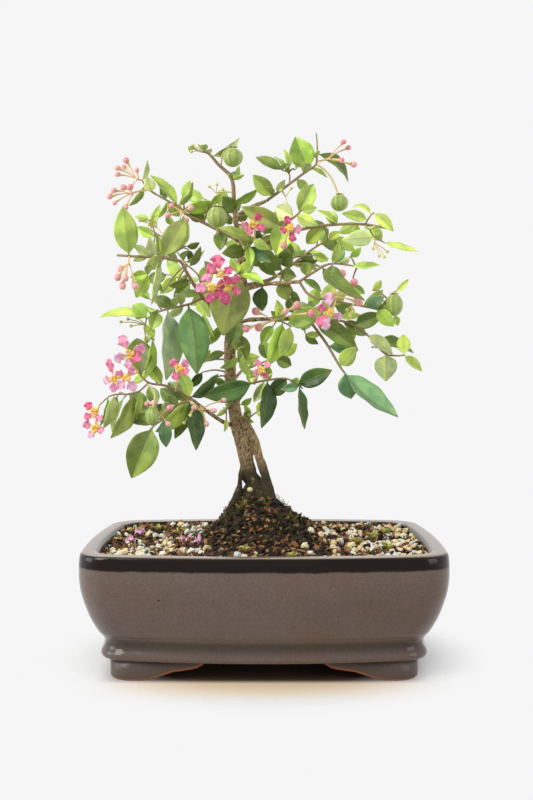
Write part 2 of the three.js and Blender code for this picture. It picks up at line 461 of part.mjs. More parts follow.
// Flowers, buds and fruit. A stalk row is [radius, [x, z, depth], ...]. A flower row is its centre [x, z, depth]
// and its petals [x, z, radius] as seen; its petals are small clawed blades. Buds are the places of round buds.
const BLOOMS = {
  main_blossom: {
    stalks: [[0.6, [-11.5, 192, 1], [-14, 193, -13], [-16.5, 193, -22]], [0.5, [-15.5, 193, -18],
      [-22, 196, -27]], [0.5, [-16.5, 193, -22], [-24, 190, -28], [-27.5, 190, -29]]],
    flowers: [[[-22.5, 196, -28], [[-24, 203.5, 3], [-28, 199, 2.6], [-17.5, 198.5, 1.8], [-18.5, 193, 2]]],
      [[-27.5, 189.5, -30], [[-30, 194.5, 2.4], [-33.5, 188.5, 2.3], [-28.5, 182.8, 2], [-23, 186, 2.5]]],
      [[-18.5, 189, -24], [[-14.5, 194, 2], [-14, 188, 2.2], [-20.5, 182.5, 2.4], [-22.5, 190.5, 2.3]]]],
    buds: [] },
  left_blossom: {
    stalks: [[0.5, [-65.5, 145.5, -27], [-69, 150, -31], [-70, 154.5, -34]], [0.5, [-65.5, 145.5, -27],
      [-71.5, 143, -34]], [0.45, [-68.5, 144.2, -30], [-77.5, 142, -34]]],
    flowers: [[[-70, 155, -35], [[-73.5, 162.5, 2.4], [-64, 158, 2.4], [-65.5, 152, 2.2], [-70, 149, 2],
      [-76, 153, 2.2]]], [[-71.5, 142.5, -35], [[-68.5, 137.5, 2.2], [-74.5, 138, 2], [-76, 145, 1.8],
      [-69, 147, 1.6]]], [[-77.5, 142, -35], [[-80.5, 151, 1.5], [-82, 141, 1.8], [-78.5, 136.5, 1.8]]]],
    buds: [] },
  far_left_blossom: {
    stalks: [[0.5, [-85.5, 128.2, -34], [-88, 124.5, -36]], [0.45, [-86, 127.5, -34.5], [-87, 122, -34],
      [-88, 117, -35]]],
    flowers: [[[-88, 124.5, -37], [[-91.5, 128.5, 1.8], [-92, 122, 1.6], [-85.5, 121, 1.6]]],
      [[-88, 116.5, -35.5], [[-92.5, 118.5, 1.8], [-90, 112.5, 1.5], [-84.5, 115, 1.5]]]],
    buds: [] },
  side_blossom: {
    stalks: [[0.5, [-46, 135.8, -21], [-45, 141, -27], [-44, 146, -29], [-44, 147, -30]]],
    flowers: [[[-44, 147, -30], [[-47, 150.5, 2], [-41, 150.5, 1.8], [-40.5, 145.5, 1.8], [-46, 143, 1.8]]]],
    buds: [] },
  right_blossom: {
    stalks: [[0.5, [37, 182.2, -22], [36, 179.5, -27], [34.3, 177, -29], [34, 176.5, -30]]],
    flowers: [[[34, 176.5, -30], [[33.5, 185, 2.2], [28.5, 171, 2], [31.5, 168.8, 1.8], [39, 174.5, 1.8],
      [29, 179, 1.8]]]],
    buds: [] },
  upper_blossom: {
    stalks: [[0.5, [13, 217.4, -15.2], [14.5, 218, -22], [13.5, 219, -25], [13, 220, -26]]],
    flowers: [[[13, 220, -26], [[17.5, 219, 1.8], [9.5, 218.5, 1.8], [12, 225, 1.8], [15, 214.5, 1.6]]]],
    buds: [[10, 211, -24]] },
  centre_blossom: {
    stalks: [[0.5, [-5, 214, -12], [-5, 219, -17], [-5.5, 222, -19], [-6, 222.5, -20]]],
    flowers: [[[-6, 222.5, -20], [[-10.5, 221.5, 1.8], [-3, 226.5, 1.7], [-1, 219.5, 1.8],
      [-7.5, 218, 1.6]]]],
    buds: [] },
  low_blossom: {
    stalks: [[0.5, [-6, 140, -11.5], [-3.5, 143.5, -17], [-2, 146, -18], [-1.5, 147, -19]]],
    flowers: [[[-1.5, 147, -19], [[2, 149.5, 1.5], [-4, 150.5, 1.5], [-5, 145, 1.5], [1, 143.5, 1.4]]]],
    buds: [] },
  top_left_buds: {
    stalks: [[0.5, [-63.3, 244.6, 13], [-66.5, 245.3, 10]]],
    buds: [[-71.5, 255, 9], [-72.5, 251.5, 14], [-76, 251, 7], [-76, 247.8, 12], [-69.5, 241, 5],
      [-66, 250, 6]] },
  far_left_buds: {
    stalks: [[0.5, [-59.5, 239.7, 13], [-65, 239, 8], [-69.5, 237.5, 4]]],
    buds: [[-78, 239.5, 3], [-80, 236.5, 7], [-77.5, 233, 0], [-73, 241, 0], [-72, 230.5, 2]] },
  upper_left_buds: {
    stalks: [[0.5, [-40.5, 227.5, 10], [-41.5, 228, 3], [-43, 228.5, -1]]],
    buds: [[-50, 226.5, -3], [-48, 231.5, 0], [-40.5, 224, -4], [-44.5, 221.5, -1], [-38, 230.5, -3]] },
  top_right_buds: {
    stalks: [[0.5, [26.7, 254, -10.2], [34, 256, -13]]],
    buds: [[41, 264.5, -14], [43.5, 261.5, -11], [40, 255, -17], [46.3, 252.8, -13]] },
  right_buds: {
    stalks: [[0.5, [34, 182.8, -21], [36.5, 186.5, -26]]],
    buds: [[40, 196.5, -25], [42.3, 188, -30], [46.5, 192, -26], [47.5, 185, -29], [49, 181.5, -32]] },
  far_left_lower_buds: {
    stalks: [[0.5, [-70, 205.7, -25.7], [-70.5, 201, -30]]],
    buds: [[-74.5, 199, -29], [-76, 194.5, -32], [-72, 194, -34], [-73.5, 190, -30], [-67, 190, -32]] },
  centre_low_buds: {
    stalks: [[0.5, [4, 173, -3.3], [4, 172.3, -11], [5, 172, -15]]],
    buds: [[-4.5, 177, -15], [-9.5, 168, -18], [-3, 168.5, -14], [17, 180, -17], [24.5, 176, -22],
      [11, 177, -20]] },
  lower_left_buds: {
    stalks: [[0.5, [-52.5, 121.5, -27.7], [-55, 124, -33]]],
    buds: [[-57.3, 129.5, -34], [-50, 118.5, -35], [-61, 129, -32], [-49, 127, -36]] },
  near_left_buds: {
    stalks: [[0.5, [-33.5, 128.3, -15], [-32, 125, -22]]],
    buds: [[-36.5, 127, -26], [-30, 118.5, -24], [-26, 125.5, -24], [-21, 131, -22]] },
};

// Green fruit: [centre x, z, depth, radius, height share], its stalk's points and how many ribs it has
const FRUITS = {
  top_fruit: { body: [-16.3, 256.5, -3, 5.2, 0.95], stalk: [[-22.5, 251.5, 0], [-21.5, 258, -2],
    [-19, 261.5, -3]] },
  left_fruit: { body: [-24.5, 225.5, -10, 5.4, 1], stalk: [[-24, 219, 6], [-24.5, 217, -3],
    [-24.5, 219.5, -9]] },
  top_right_fruit: { body: [38.8, 233, -14, 4.5, 0.95],
    stalk: [[26.6, 253.2, -10.2], [31, 250, -11], [34.5, 246, -12], [37, 240.5, -13], [38.2, 237.5, -14]] },
  right_fruit: { body: [67.2, 180.3, -25, 4.4, 1.25], stalk: [[66.5, 186.3, -23], [67.3, 187, -24.5],
    [67.2, 185.5, -25]] },
  low_fruit: { body: [-58.3, 122.5, -36, 3.4, 1.3], stalk: [[-61, 139.3, -25.5], [-57, 135, -32],
    [-57.5, 128, -36]] },
};

// All woody stems as one solid, each thicker by `more` all round
function woodSolid(more) {
  return joined(Object.values(WOOD).map(({ sides, radii, points }) => stem(points, radii, sides, more)));
}

// Soil: a mound round the trunk, level gravel beyond it, filling the pot to just under its rim
function soilHeight(x, y) {
  const far = Math.hypot(x - MOUND_X, (y - MOUND_Y) * 1.15);
  const mound = MOUND_HEIGHT / (1 + (far / MOUND_REACH) ** 4) + 3 * Math.exp(-((far / 38) ** 2));
  const crumbs = 0.5 * Math.sin(0.9 * x + 0.4 * y) * Math.cos(0.7 * y - 0.3 * x);
  const grains = 0.4 * Math.sin(2.1 * x) * Math.sin(1.7 * y);
  return SOIL_EDGE_Z + mound + crumbs + grains;
}

function makeSoil(wood) {
  const inside = loft([...CAVITY_LEVELS, [POT_HEIGHT - 1, WALL - 0.6], [POT_HEIGHT + 60, WALL - 0.6]]
    .map(([z, inset], k) => ringAt(z + (k === 0 ? GAP : 0), inset + GAP)));
  const edge = outline(WALL - 2);
  const rings = [edge.map(([x, y]) => V(x, y, FLOOR_TOP))];
  for (let k = 0; k < SOIL_STEPS; k++) {
    const share = (1 - k / SOIL_STEPS) ** 1.3;
    rings.push(edge.map(([x, y]) => {
      const px = MOUND_X * (1 - share) + x * share;
      const py = y * share;
      return V(px, py, k === 0 ? SOIL_EDGE_Z : soilHeight(px, py));
    }));
  }
  const ground = loft(rings);
  return mainBody(ground.add(joined(pebbles())).intersect(inside).subtract(wood));
}

// Half-sunk gravel: rough many-sided grains, more of them away from the mound
function pebbles() {
  const draw = seeded(41);
  const stones = [];
  const halfX = RIM_WIDTH / 2 - WALL - 5;
  const halfY = RIM_DEPTH / 2 - WALL - 5;
  while (stones.length < PEBBLE_COUNT) {
    const x = (2 * draw() - 1) * halfX;
    const y = (2 * draw() - 1) * halfY;
    const size = 2.4 + 1.5 * draw();
    const flat = 0.6 + 0.3 * draw();
    const spin = 6.28 * draw();
    const nearMound = Math.hypot(x - MOUND_X, y - MOUND_Y) < MOUND_REACH + 6;
    if (nearMound && draw() > 0.2) continue;
    if (Math.abs(x) > halfX - 8 && Math.abs(y) > halfY - 8) continue;
    const stone = new THREE.OctahedronGeometry(size, 0).scale(1.15, 1, flat).rotateZ(spin)
      .translate(x, y, soilHeight(x, y) + 0.25 * size);
    stones.push(solidOf(stone));
  }
  return stones;
}

// The nearest place on a shoot's twigs, as seen from the front, kept off each twig's two ends
function nearestOnTwigs(twigs, x, z) {
  let best = null;
  for (const [, , ...points] of twigs) {
    for (let k = 0; k + 1 < points.length; k++) {
      const [ax, az, ay] = points[k];
      const [bx, bz, by] = points[k + 1];
      const span = (bx - ax) ** 2 + (bz - az) ** 2;
      const reach = Math.hypot(Math.sqrt(span), by - ay);
      const low = k === 0 ? Math.min(0.5, TWIG_START / reach) : 0;
      const high = k + 2 === points.length ? 1 - Math.min(0.3, TWIG_END / reach) : 1;
      const t = Math.min(high, Math.max(low, ((x - ax) * (bx - ax) + (z - az) * (bz - az)) / span));
      const away = Math.hypot(ax + t * (bx - ax) - x, az + t * (bz - az) - z);
      if (best && away >= best.away) continue;
      best = { away, place: [ax + t * (bx - ax), az + t * (bz - az), ay + t * (by - ay)],
        root: at(points[k]).lerp(at(points[k + 1]), t) };
    }
  }
  return best;
}

// Leaf outline: share of the way from stalk to tip, and share of the half width there
const LARGE_LEAF = [[0.2, 0.62], [0.48, 1], [0.78, 0.66]];
const SMALL_LEAF = [[0.3, 0.88], [0.68, 0.84]];
const PETAL = [[0.62, 1]];

// A thin blade from base to tip. It faces the front, is turned about its length by `roll`, bows by `arch` along
// its face and by `sweep` to its side, and its halves rise from the midrib by FOLD; a flat one has no midrib.
function blade(base, tip, width, form) {
  const { roll = 0, arch = 0, sweep = 0, stations = SMALL_LEAF, grow = 0, flat = false } = form;
  const length = base.distanceTo(tip);
  const along = tip.clone().sub(base).normalize();
  const view = V(VIEW_X, -VIEW_DISTANCE, VIEW_HEIGHT).sub(base).normalize();
  const facing = view.addScaledVector(along, -view.dot(along)).normalize();
  const beside = along.clone().cross(facing);
  const normal = facing.clone().multiplyScalar(Math.cos(roll)).addScaledVector(beside, Math.sin(roll));
  const side = along.clone().cross(normal);
  const midrib = (t) => base.clone().addScaledVector(along, t * length)
    .addScaledVector(normal, arch * length * Math.sin(Math.PI * t))
    .addScaledVector(side, sweep * length * Math.sin(Math.PI * t));
  const half = BLADE_HALF + grow;
  const points = [];
  const push = (p) => {
    points.push(p.clone().addScaledVector(normal, half), p.clone().addScaledVector(normal, -half));
    return points.length / 2 - 1;
  };
  const start = push(base);
  const rows = stations.map(([t, share]) => {
    const reach = share * width / 2 + grow;
    const rise = FOLD * share * width / 2;
    const middle = midrib(t);
    return (flat ? [-1, 1] : [-1, 0, 1]).map((s) => push(middle.clone().addScaledVector(side, s * reach)
      .addScaledVector(normal, s === 0 ? 0 : rise)));
  });
  const end = push(tip.clone().addScaledVector(along, grow));
  const upper = [];
  const last = rows[rows.length - 1];
  for (let s = 0; s + 1 < last.length; s++) {
    upper.push([start, rows[0][s + 1], rows[0][s]], [last[s], last[s + 1], end]);
    for (let k = 0; k + 1 < rows.length; k++) {
      upper.push([rows[k][s], rows[k][s + 1], rows[k + 1][s + 1]]);
      upper.push([rows[k][s], rows[k + 1][s + 1], rows[k + 1][s]]);
    }
  }
  const rim = [start, ...rows.map((row) => row[row.length - 1]), end, ...rows.map((row) => row[0]).reverse()];
  const faces = [];
  for (const [a, b, c] of upper) faces.push([2 * a, 2 * b, 2 * c], [2 * a + 1, 2 * c + 1, 2 * b + 1]);
  rim.forEach((a, i) => {
    const b = rim[(i + 1) % rim.length];
    faces.push([2 * a, 2 * a + 1, 2 * b + 1], [2 * a, 2 * b + 1, 2 * b]);
  });
  return solidOf(geometryOf(points, faces));
}

// The leaf's own width, and its turn about its length that makes it look as narrow as it does from the front
function leafForm(length, seen) {
  const width = Math.max(seen, LEAF_SLIMNESS * length);
  return { width, roll: 0.9 * Math.acos(Math.min(1, seen / width)) };
}

// Ways to bend a leaf clear of what is round it: [extra depth of the tip, turn about its base in degrees]
const BENDS = [[0, 0], [-3, 0], [3, 0], [-6, 0], [6, 0], [-9, 0], [9, 0], [-12, 0], [12, 0], [-5, 9],
  [5, 9], [-5, -9], [5, -9], [-15, 0], [15, 0], [-10, 16], [10, 16], [-10, -16], [10, -16], [-18, 0],
  [18, 0], [-14, 26], [14, 26], [-14, -26], [14, -26]];

// One leaf of a shoot, bent by `lean` and `turn`; `grow` thickens it, and `from` leaves out that share at its foot
function leafBlade(twigs, row, [lean, turn], grow, from = 0) {
  const [bx, bz, tx, tz, seen, gained, arch = 0.04, sweep = 0] = row;
  const form = leafForm(Math.hypot(tx - bx, tz - bz), seen);
  const { place, root } = nearestOnTwigs(twigs, bx, bz);
  const a = turn * Math.PI / 180;
  const dx = tx - place[0];
  const dz = tz - place[1];
  const tip = at([place[0] + dx * Math.cos(a) - dz * Math.sin(a),
    place[1] + dx * Math.sin(a) + dz * Math.cos(a), place[2] + gained + lean]);
  const length = root.distanceTo(tip);
  const smaller = length > SMALL_LEAF_FROM ? SMALL_LEAF : PETAL;
  const stations = length > LARGE_LEAF_FROM ? LARGE_LEAF : smaller;
  const roll = tip.z > root.z ? form.roll : -form.roll;
  const shape = { roll, arch, sweep, stations, grow, flat: length < FLAT_LEAF_BELOW };
  return blade(root.clone().lerp(tip, from), tip, form.width, shape);
}

const boxesMeet = (a, b) => [0, 1, 2].every((i) => a.min[i] <= b.max[i] && b.min[i] <= a.max[i]);
const meets = (a, b) => boxesMeet(a.boundingBox(), b.boundingBox()) && !a.intersect(b).isEmpty();

// A ribbed round fruit on its stalk, with the cut ends of its sepals round the stalk's foot
function makeFruit({ body: [x, z, depth, radius, tall], stalk }) {
  const centre = at([x, z, depth]);
  const levels = [-0.93, -0.42, 0.42, 0.93];
  const rings = levels.map((h) => Array.from({ length: 2 * FRUIT_RIBS }, (_, k) => {
    const turn = Math.PI * k / FRUIT_RIBS;
    const reach = radius * Math.sqrt(1 - h * h) * (k % 2 ? 0.88 : 1);
    return centre.clone().add(V(reach * Math.cos(turn), reach * Math.sin(turn), radius * tall * h));
  }));
  const crown = centre.clone().setZ(centre.z + radius * tall * 0.97);
  const points = [...stalk.map(at), crown.clone().add(V(0, 0, -1))];
  const star = new THREE.Shape(Array.from({ length: 10 }, (_, k) => {
    const reach = radius * (k % 2 ? 0.24 : 0.62);
    return new THREE.Vector2(reach * Math.cos(0.2 * Math.PI * k), reach * Math.sin(0.2 * Math.PI * k));
  }));
  const calyx = new THREE.ExtrudeGeometry(star, { depth: 0.7, bevelEnabled: false });
  calyx.translate(crown.x, crown.y, crown.z - 0.35);
  const stem = tube(points, points.map(() => 0.5), STALK_SIDES);
  return { stems: [[points, 0.5]], solid: joined([loft(rings), stem, solidOf(calyx)]) };
}

// A bloom's petals and yellow hearts, or an umbel of round buds, on their fused stalks
function makeBloom({ stalks, flowers = [], buds }) {
  const stems = stalks.map(([radius, ...points]) => [points.map(at), radius]);
  const heads = [];
  for (const [centre, petals] of flowers) {
    const heart = at(centre);
    heads.push(solidOf(new THREE.OctahedronGeometry(1.5, 0).translate(heart.x, heart.y, heart.z)));
    petals.forEach(([x, z, radius], k) => {
      const limb = at([x, z, centre[2] - 1 - (k % 3)]);
      const out = limb.clone().sub(heart);
      const tip = heart.clone().addScaledVector(out, 1 + radius * 0.85 / out.length());
      heads.push(blade(heart, tip, 2 * radius, { stations: PETAL, roll: 0.35 * (k % 2 ? 1 : -1), flat: true }));
    });
  }
  const stalk = stems[0][0];
  buds.forEach((place, k) => {
    const bud = at(place);
    const foot = stalk[stalk.length - 1].clone().lerp(stalk[stalk.length - 2], 0.12 + 0.45 * k / buds.length);
    const out = bud.clone().sub(foot).normalize();
    const along = (d) => bud.clone().addScaledVector(out, d);
    stems.push([[foot, along(-BUD_RADIUS)], 0.45]);
    heads.push(tube([foot, along(-1.2 * BUD_RADIUS), along(-0.2 * BUD_RADIUS), along(0.8 * BUD_RADIUS)],
      [0.45, 0.45, 1.15 * BUD_RADIUS, 0.8], STALK_SIDES));
  });
  const tubes = stalks.map(([radius, ...points]) =>
    tube(points.map(at), points.map(() => radius), STALK_SIDES));
  return { stems, solid: joined([...tubes, ...heads]) };
}

// Every other node keeps clear of the stems by GAP, and leaves are bent clear of all that is round them
const wood = mainBody(woodSolid(0));
const woodClear = woodSolid(GAP);
addPiece('pot', makePot(), 0x6f655f, 0.25);
addPiece('soil', makeSoil(woodClear), 0x3a2f26, 1);
addPiece('trunk', wood, 0x6b5638, 0.9);

const shoots = Object.entries(SPRAYS).map(([name, { twigs, leaves }]) => {
  const stems = (more) => joined(twigs.map(([from, to, ...points]) =>
    stem(points, taper(points.length, from, to), TWIG_SIDES, more)));
  return { name, twigs, leaves, bare: stems(0), clear: stems(GAP) };
});
// A shoot's twigs, cut back from the wood and from the twigs of the shoots before it
shoots.forEach((shoot, k) => {
  shoot.stem = shoot.bare.subtract(woodClear);
  for (const other of shoots.slice(0, k)) {
    if (meets(other.clear, shoot.stem)) shoot.stem = shoot.stem.subtract(other.clear);
  }
  shoot.stem = mainBody(shoot.stem);
});

const obstacles = [{ owner: 'trunk', solid: woodClear }];
shoots.forEach(({ name, clear }) => obstacles.push({ owner: name, solid: clear }));
const cleared = (owner, solid) => obstacles.reduce((rest, o) =>
  (o.owner !== owner && meets(rest, o.solid) ? rest.subtract(o.solid) : rest), solid);

const heads = [...Object.entries(FRUITS).map(([name, row]) => [name, makeFruit(row), 0x8fb04e]),
  ...Object.entries(BLOOMS).map(([name, row]) => [name, makeBloom(row), 0xe56aa0])];
for (const [name, { solid, stems }, color] of heads) {
  const piece = mainBody(cleared(name, solid));
  addPiece(name, piece, color, 0.5);
  obstacles.push({ owner: name, solid: piece });
  for (const [points, radius] of stems) {
    obstacles.push({ owner: name, solid: tube(points, points.map(() => radius + GAP), 4) });
  }
}

for (const { name, twigs, leaves, stem: stalk } of shoots) {
  const blades = [];
  for (const row of leaves) {
    const others = obstacles.filter((o) => o.owner !== name).map((o) => o.solid);
    const clearOfOthers = (bend) => !others.some((o) => meets(leafBlade(twigs, row, bend, GAP, 0.16), o));
    const clearOfOwn = (bend) => !blades.some((b) => meets(leafBlade(twigs, row, bend, 0, 0.3), b.blade));
    const bend = BENDS.find((b) => clearOfOthers(b) && clearOfOwn(b)) ?? BENDS.find(clearOfOthers) ?? BENDS[0];
    blades.push({ blade: leafBlade(twigs, row, bend, 0), thick: leafBlade(twigs, row, bend, GAP) });
  }
  const shoot = cleared(name, joined([stalk, ...blades.map((b) => b.blade)]));
  addPiece(name, mainBody(shoot), 0x6f9440, 0.5);
  blades.forEach((b) => obstacles.push({ owner: name, solid: b.thick }));
}

const whole = new THREE.Box3().setFromObject(group);
group.position.set(-(whole.min.x + whole.max.x) / 2, -(whole.min.y + whole.max.y) / 2, -whole.min.z);

export default group;
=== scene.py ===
# %% [markdown]
# # A barbados cherry bonsai in its glazed pot
# The real thing is a young tree, about 27 cm high with its pot. It has thin leaves, crinkled pink flowers
# and green fruit, and it grows from a mound of dark soil. This lesson loads the plain solids of the same
# tree as a fixed frame, and builds the fine surface of every piece over them.

# %% Load the frame
import math
import random

import bmesh
import bpy
import numpy as np
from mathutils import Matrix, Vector, kdtree, noise


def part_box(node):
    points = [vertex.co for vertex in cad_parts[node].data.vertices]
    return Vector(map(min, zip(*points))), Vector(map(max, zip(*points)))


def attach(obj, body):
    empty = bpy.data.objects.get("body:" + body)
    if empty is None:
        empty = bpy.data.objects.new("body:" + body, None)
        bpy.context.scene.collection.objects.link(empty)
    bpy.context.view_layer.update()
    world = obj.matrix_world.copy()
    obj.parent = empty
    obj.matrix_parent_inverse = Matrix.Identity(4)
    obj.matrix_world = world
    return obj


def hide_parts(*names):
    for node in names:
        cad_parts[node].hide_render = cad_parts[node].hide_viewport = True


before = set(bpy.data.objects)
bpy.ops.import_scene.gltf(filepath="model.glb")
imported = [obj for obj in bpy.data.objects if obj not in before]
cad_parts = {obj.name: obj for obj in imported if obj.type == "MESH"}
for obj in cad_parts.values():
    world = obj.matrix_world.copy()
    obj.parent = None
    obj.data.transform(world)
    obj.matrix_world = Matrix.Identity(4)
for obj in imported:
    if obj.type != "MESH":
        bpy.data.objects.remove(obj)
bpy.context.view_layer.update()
MM = 0.001
pot_low, pot_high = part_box("pot")
POT_FOOT = Vector(((pot_low.x + pot_high.x) / 2, (pot_low.y + pot_high.y) / 2, pot_low.z))


def spot(x, y, z):
    """A point given in millimetres from the middle of the pot's foot."""
    return POT_FOOT + Vector((x, y, z)) * MM


# %% [markdown]
# The picture is taken from the front, a little above the middle of the tree, by a camera half a metre away.
# The camera comes first, because the plant's places are read the same way: across, up, and then how far
# they lie behind the upright plane through the pot's middle. A place slides along its line of sight to that
# depth.

# %% Camera
VIEW_X, VIEW_DISTANCE, VIEW_HEIGHT = 1.1, 512.5, 138.8
PITCH_DOWN = 0.87
SENSOR_HEIGHT, LENS = 36, 44.46
camera_data = bpy.data.cameras.new("camera")
camera_data.sensor_fit = "VERTICAL"
camera_data.sensor_height = SENSOR_HEIGHT
camera_data.lens = LENS
camera = bpy.data.objects.new("camera", camera_data)
camera.location = spot(VIEW_X, -VIEW_DISTANCE, VIEW_HEIGHT)
camera.rotation_euler = (math.radians(90 - PITCH_DOWN), 0, 0)
bpy.context.scene.collection.objects.link(camera)
bpy.context.scene.camera = camera


def seen(place):
    """A plant's place [across, up, depth] in millimetres, as a point in the frame."""
    x, z, depth = place
    s = 1 + depth / VIEW_DISTANCE
    return spot(VIEW_X + (x - VIEW_X) * s, depth, VIEW_HEIGHT + (z - VIEW_HEIGHT) * s)


print("camera", tuple(round(c, 4) for c in camera.location), "lens", camera_data.lens)

# %% [markdown]
# Each finished piece is an object at the origin with its place in its mesh, and it rides on the frame's one
# body. These helpers make a mesh with named attributes on its points, put a node tree on it, and turn the
# result into a plain mesh before the piece is handed to the frame.

# %% Helpers for pieces
def piece_from(name, points, edges=(), faces=(), **attributes):
    """A new object from points in metres. Each attribute has a number, vector or colour for every point."""
    mesh = bpy.data.meshes.new(name)
    mesh.from_pydata([tuple(p) for p in points], list(edges), [tuple(f) for f in faces])
    for key, values in attributes.items():
        values = np.array(values, np.float32)
        kind, field = {1: ("FLOAT", "value"), 2: ("FLOAT_VECTOR", "vector")}[values.ndim]
        if values.ndim == 2 and values.shape[1] == 4:
            kind, field = "FLOAT_COLOR", "color"
        mesh.attributes.new(key, kind, "POINT").data.foreach_set(field, values.ravel())
    piece = bpy.data.objects.new(name, mesh)
    bpy.context.scene.collection.objects.link(piece)
    return piece


def face_outwards(piece):
    """Turns the faces of closed skins outwards."""
    shape = bmesh.new()
    shape.from_mesh(piece.data)
    bmesh.ops.recalc_face_normals(shape, faces=shape.faces)
    shape.to_mesh(piece.data)
    shape.free()
    return piece


def settle(piece):
    """Makes the modifiers' result the piece's own plain mesh."""
    graph = bpy.context.evaluated_depsgraph_get()
    graph.update()
    result = piece.evaluated_get(graph)
    mesh = bpy.data.meshes.new_from_object(result, preserve_all_data_layers=True, depsgraph=graph)
    piece.modifiers.clear()
    piece.data = mesh
    return piece


def grow(piece, tree, **values):
    """Runs a Geometry Nodes tree on the piece with these inputs, and keeps the plain mesh."""
    modifier = piece.modifiers.new("rule", "NODES")
    modifier.node_group = tree
    for item in tree.interface.items_tree:
        if item.in_out == "INPUT" and item.name in values:
            modifier[item.identifier] = values.pop(item.name)
    if values:
        raise ValueError(f"{tree.name} has no input named {sorted(values)}")
    return settle(piece)


def hand_over(piece, slot, *nodes):
    """Puts a finished piece on the frame's body, in place of the plain solids it stands for."""
    if nodes:
        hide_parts(*nodes)
    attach(piece, "root")
    return piece


class Nodes:
    """Adds nodes to a tree, with their properties set and their inputs filled from sockets or values."""

    def __init__(self, tree):
        self.tree = tree

    def node(self, kind, *values, inputs=None, **settings):
        made = self.tree.nodes.new(kind)
        for key, value in settings.items():
            setattr(made, key, value)
        for key, value in {**dict(enumerate(values)), **(inputs or {})}.items():
            self.fill(made.inputs[key], value)
        return made

    def fill(self, socket, value):
        if value is None:
            return
        if isinstance(value, bpy.types.Node):
            value = next(o for o in value.outputs if o.enabled)
        if isinstance(value, bpy.types.NodeSocket):
            self.tree.links.new(value, socket)
        else:
            socket.default_value = value

    def math(self, operation, *values):
        return self.node("ShaderNodeMath", *values, operation=operation).outputs[0]

    def times(self, a, b):
        return self.math("MULTIPLY", a, b)

    def plus(self, a, b):
        return self.math("ADD", a, b)

    def minus(self, a, b):
        return self.math("SUBTRACT", a, b)

    def vector(self, operation, *values, **inputs):
        made = self.node("ShaderNodeVectorMath", *values, operation=operation, inputs=inputs)
        return made.outputs["Value" if operation == "LENGTH" else "Vector"]

    def scaled(self, vector, size):
        return self.vector("SCALE", vector, Scale=size)

    def between(self, value, low, high, to_low=0.0, to_high=1.0):
        """Runs smoothly from to_low to to_high as the value goes from low to high."""
        return self.node("ShaderNodeMapRange", value, low, high, to_low, to_high,
                         interpolation_type="SMOOTHSTEP").outputs[0]


class Rule(Nodes):
    """A Geometry Nodes tree with named inputs."""

    def __init__(self, name, **inputs):
        self.tree = bpy.data.node_groups.new(name, "GeometryNodeTree")
        self.tree.interface.new_socket("Geometry", in_out="INPUT", socket_type="NodeSocketGeometry")
        self.tree.interface.new_socket("Geometry", in_out="OUTPUT", socket_type="NodeSocketGeometry")
        kinds = {int: "NodeSocketInt", float: "NodeSocketFloat", tuple: "NodeSocketVector",
                 type(None): "NodeSocketMaterial"}
        for key, value in inputs.items():
            socket = self.tree.interface.new_socket(key, in_out="INPUT", socket_type=kinds[type(value)])
            if value is not None:
                socket.default_value = value
        self.start = self.tree.nodes.new("NodeGroupInput")
        self.end = self.tree.nodes.new("NodeGroupOutput")

    def __getitem__(self, name):
        return self.start.outputs[name]

    def read(self, name, kind="FLOAT"):
        return self.node("GeometryNodeInputNamedAttribute", name, data_type=kind).outputs["Attribute"]

    def store(self, geometry, name, value, kind="FLOAT", domain="POINT"):
        made = self.node("GeometryNodeStoreNamedAttribute", geometry, data_type=kind, domain=domain)
        self.fill(made.inputs["Name"], name)
        self.fill(next(i for i in made.inputs if i.name == "Value" and i.enabled), value)
        return made.outputs[0]

    def noise(self, place, size, detail=2.0, output="Fac"):
        """Noise with features of about `size` millimetres."""
        return self.node("ShaderNodeTexNoise", place, inputs={
            "Scale": 1 / (size * MM), "Detail": detail}).outputs[output]

    def moved(self, geometry, **by):
        """The geometry with its points at a new Position, or shifted by an Offset."""
        return self.node("GeometryNodeSetPosition", geometry, inputs=by).outputs[0]

    def joined(self, *parts):
        whole = self.node("GeometryNodeJoinGeometry")
        for part in parts:
            self.tree.links.new(part, whole.inputs[0])
        return whole.outputs[0]

    def shaded(self, geometry, smooth=True):
        return self.node("GeometryNodeSetShadeSmooth", geometry, inputs={"Shade Smooth": smooth}).outputs[0]

    def coat(self, geometry, material):
        return self.node("GeometryNodeSetMaterial", geometry, None, material).outputs[0]

    def done(self, geometry):
        self.tree.links.new(geometry, self.end.inputs[0])
        return self.tree


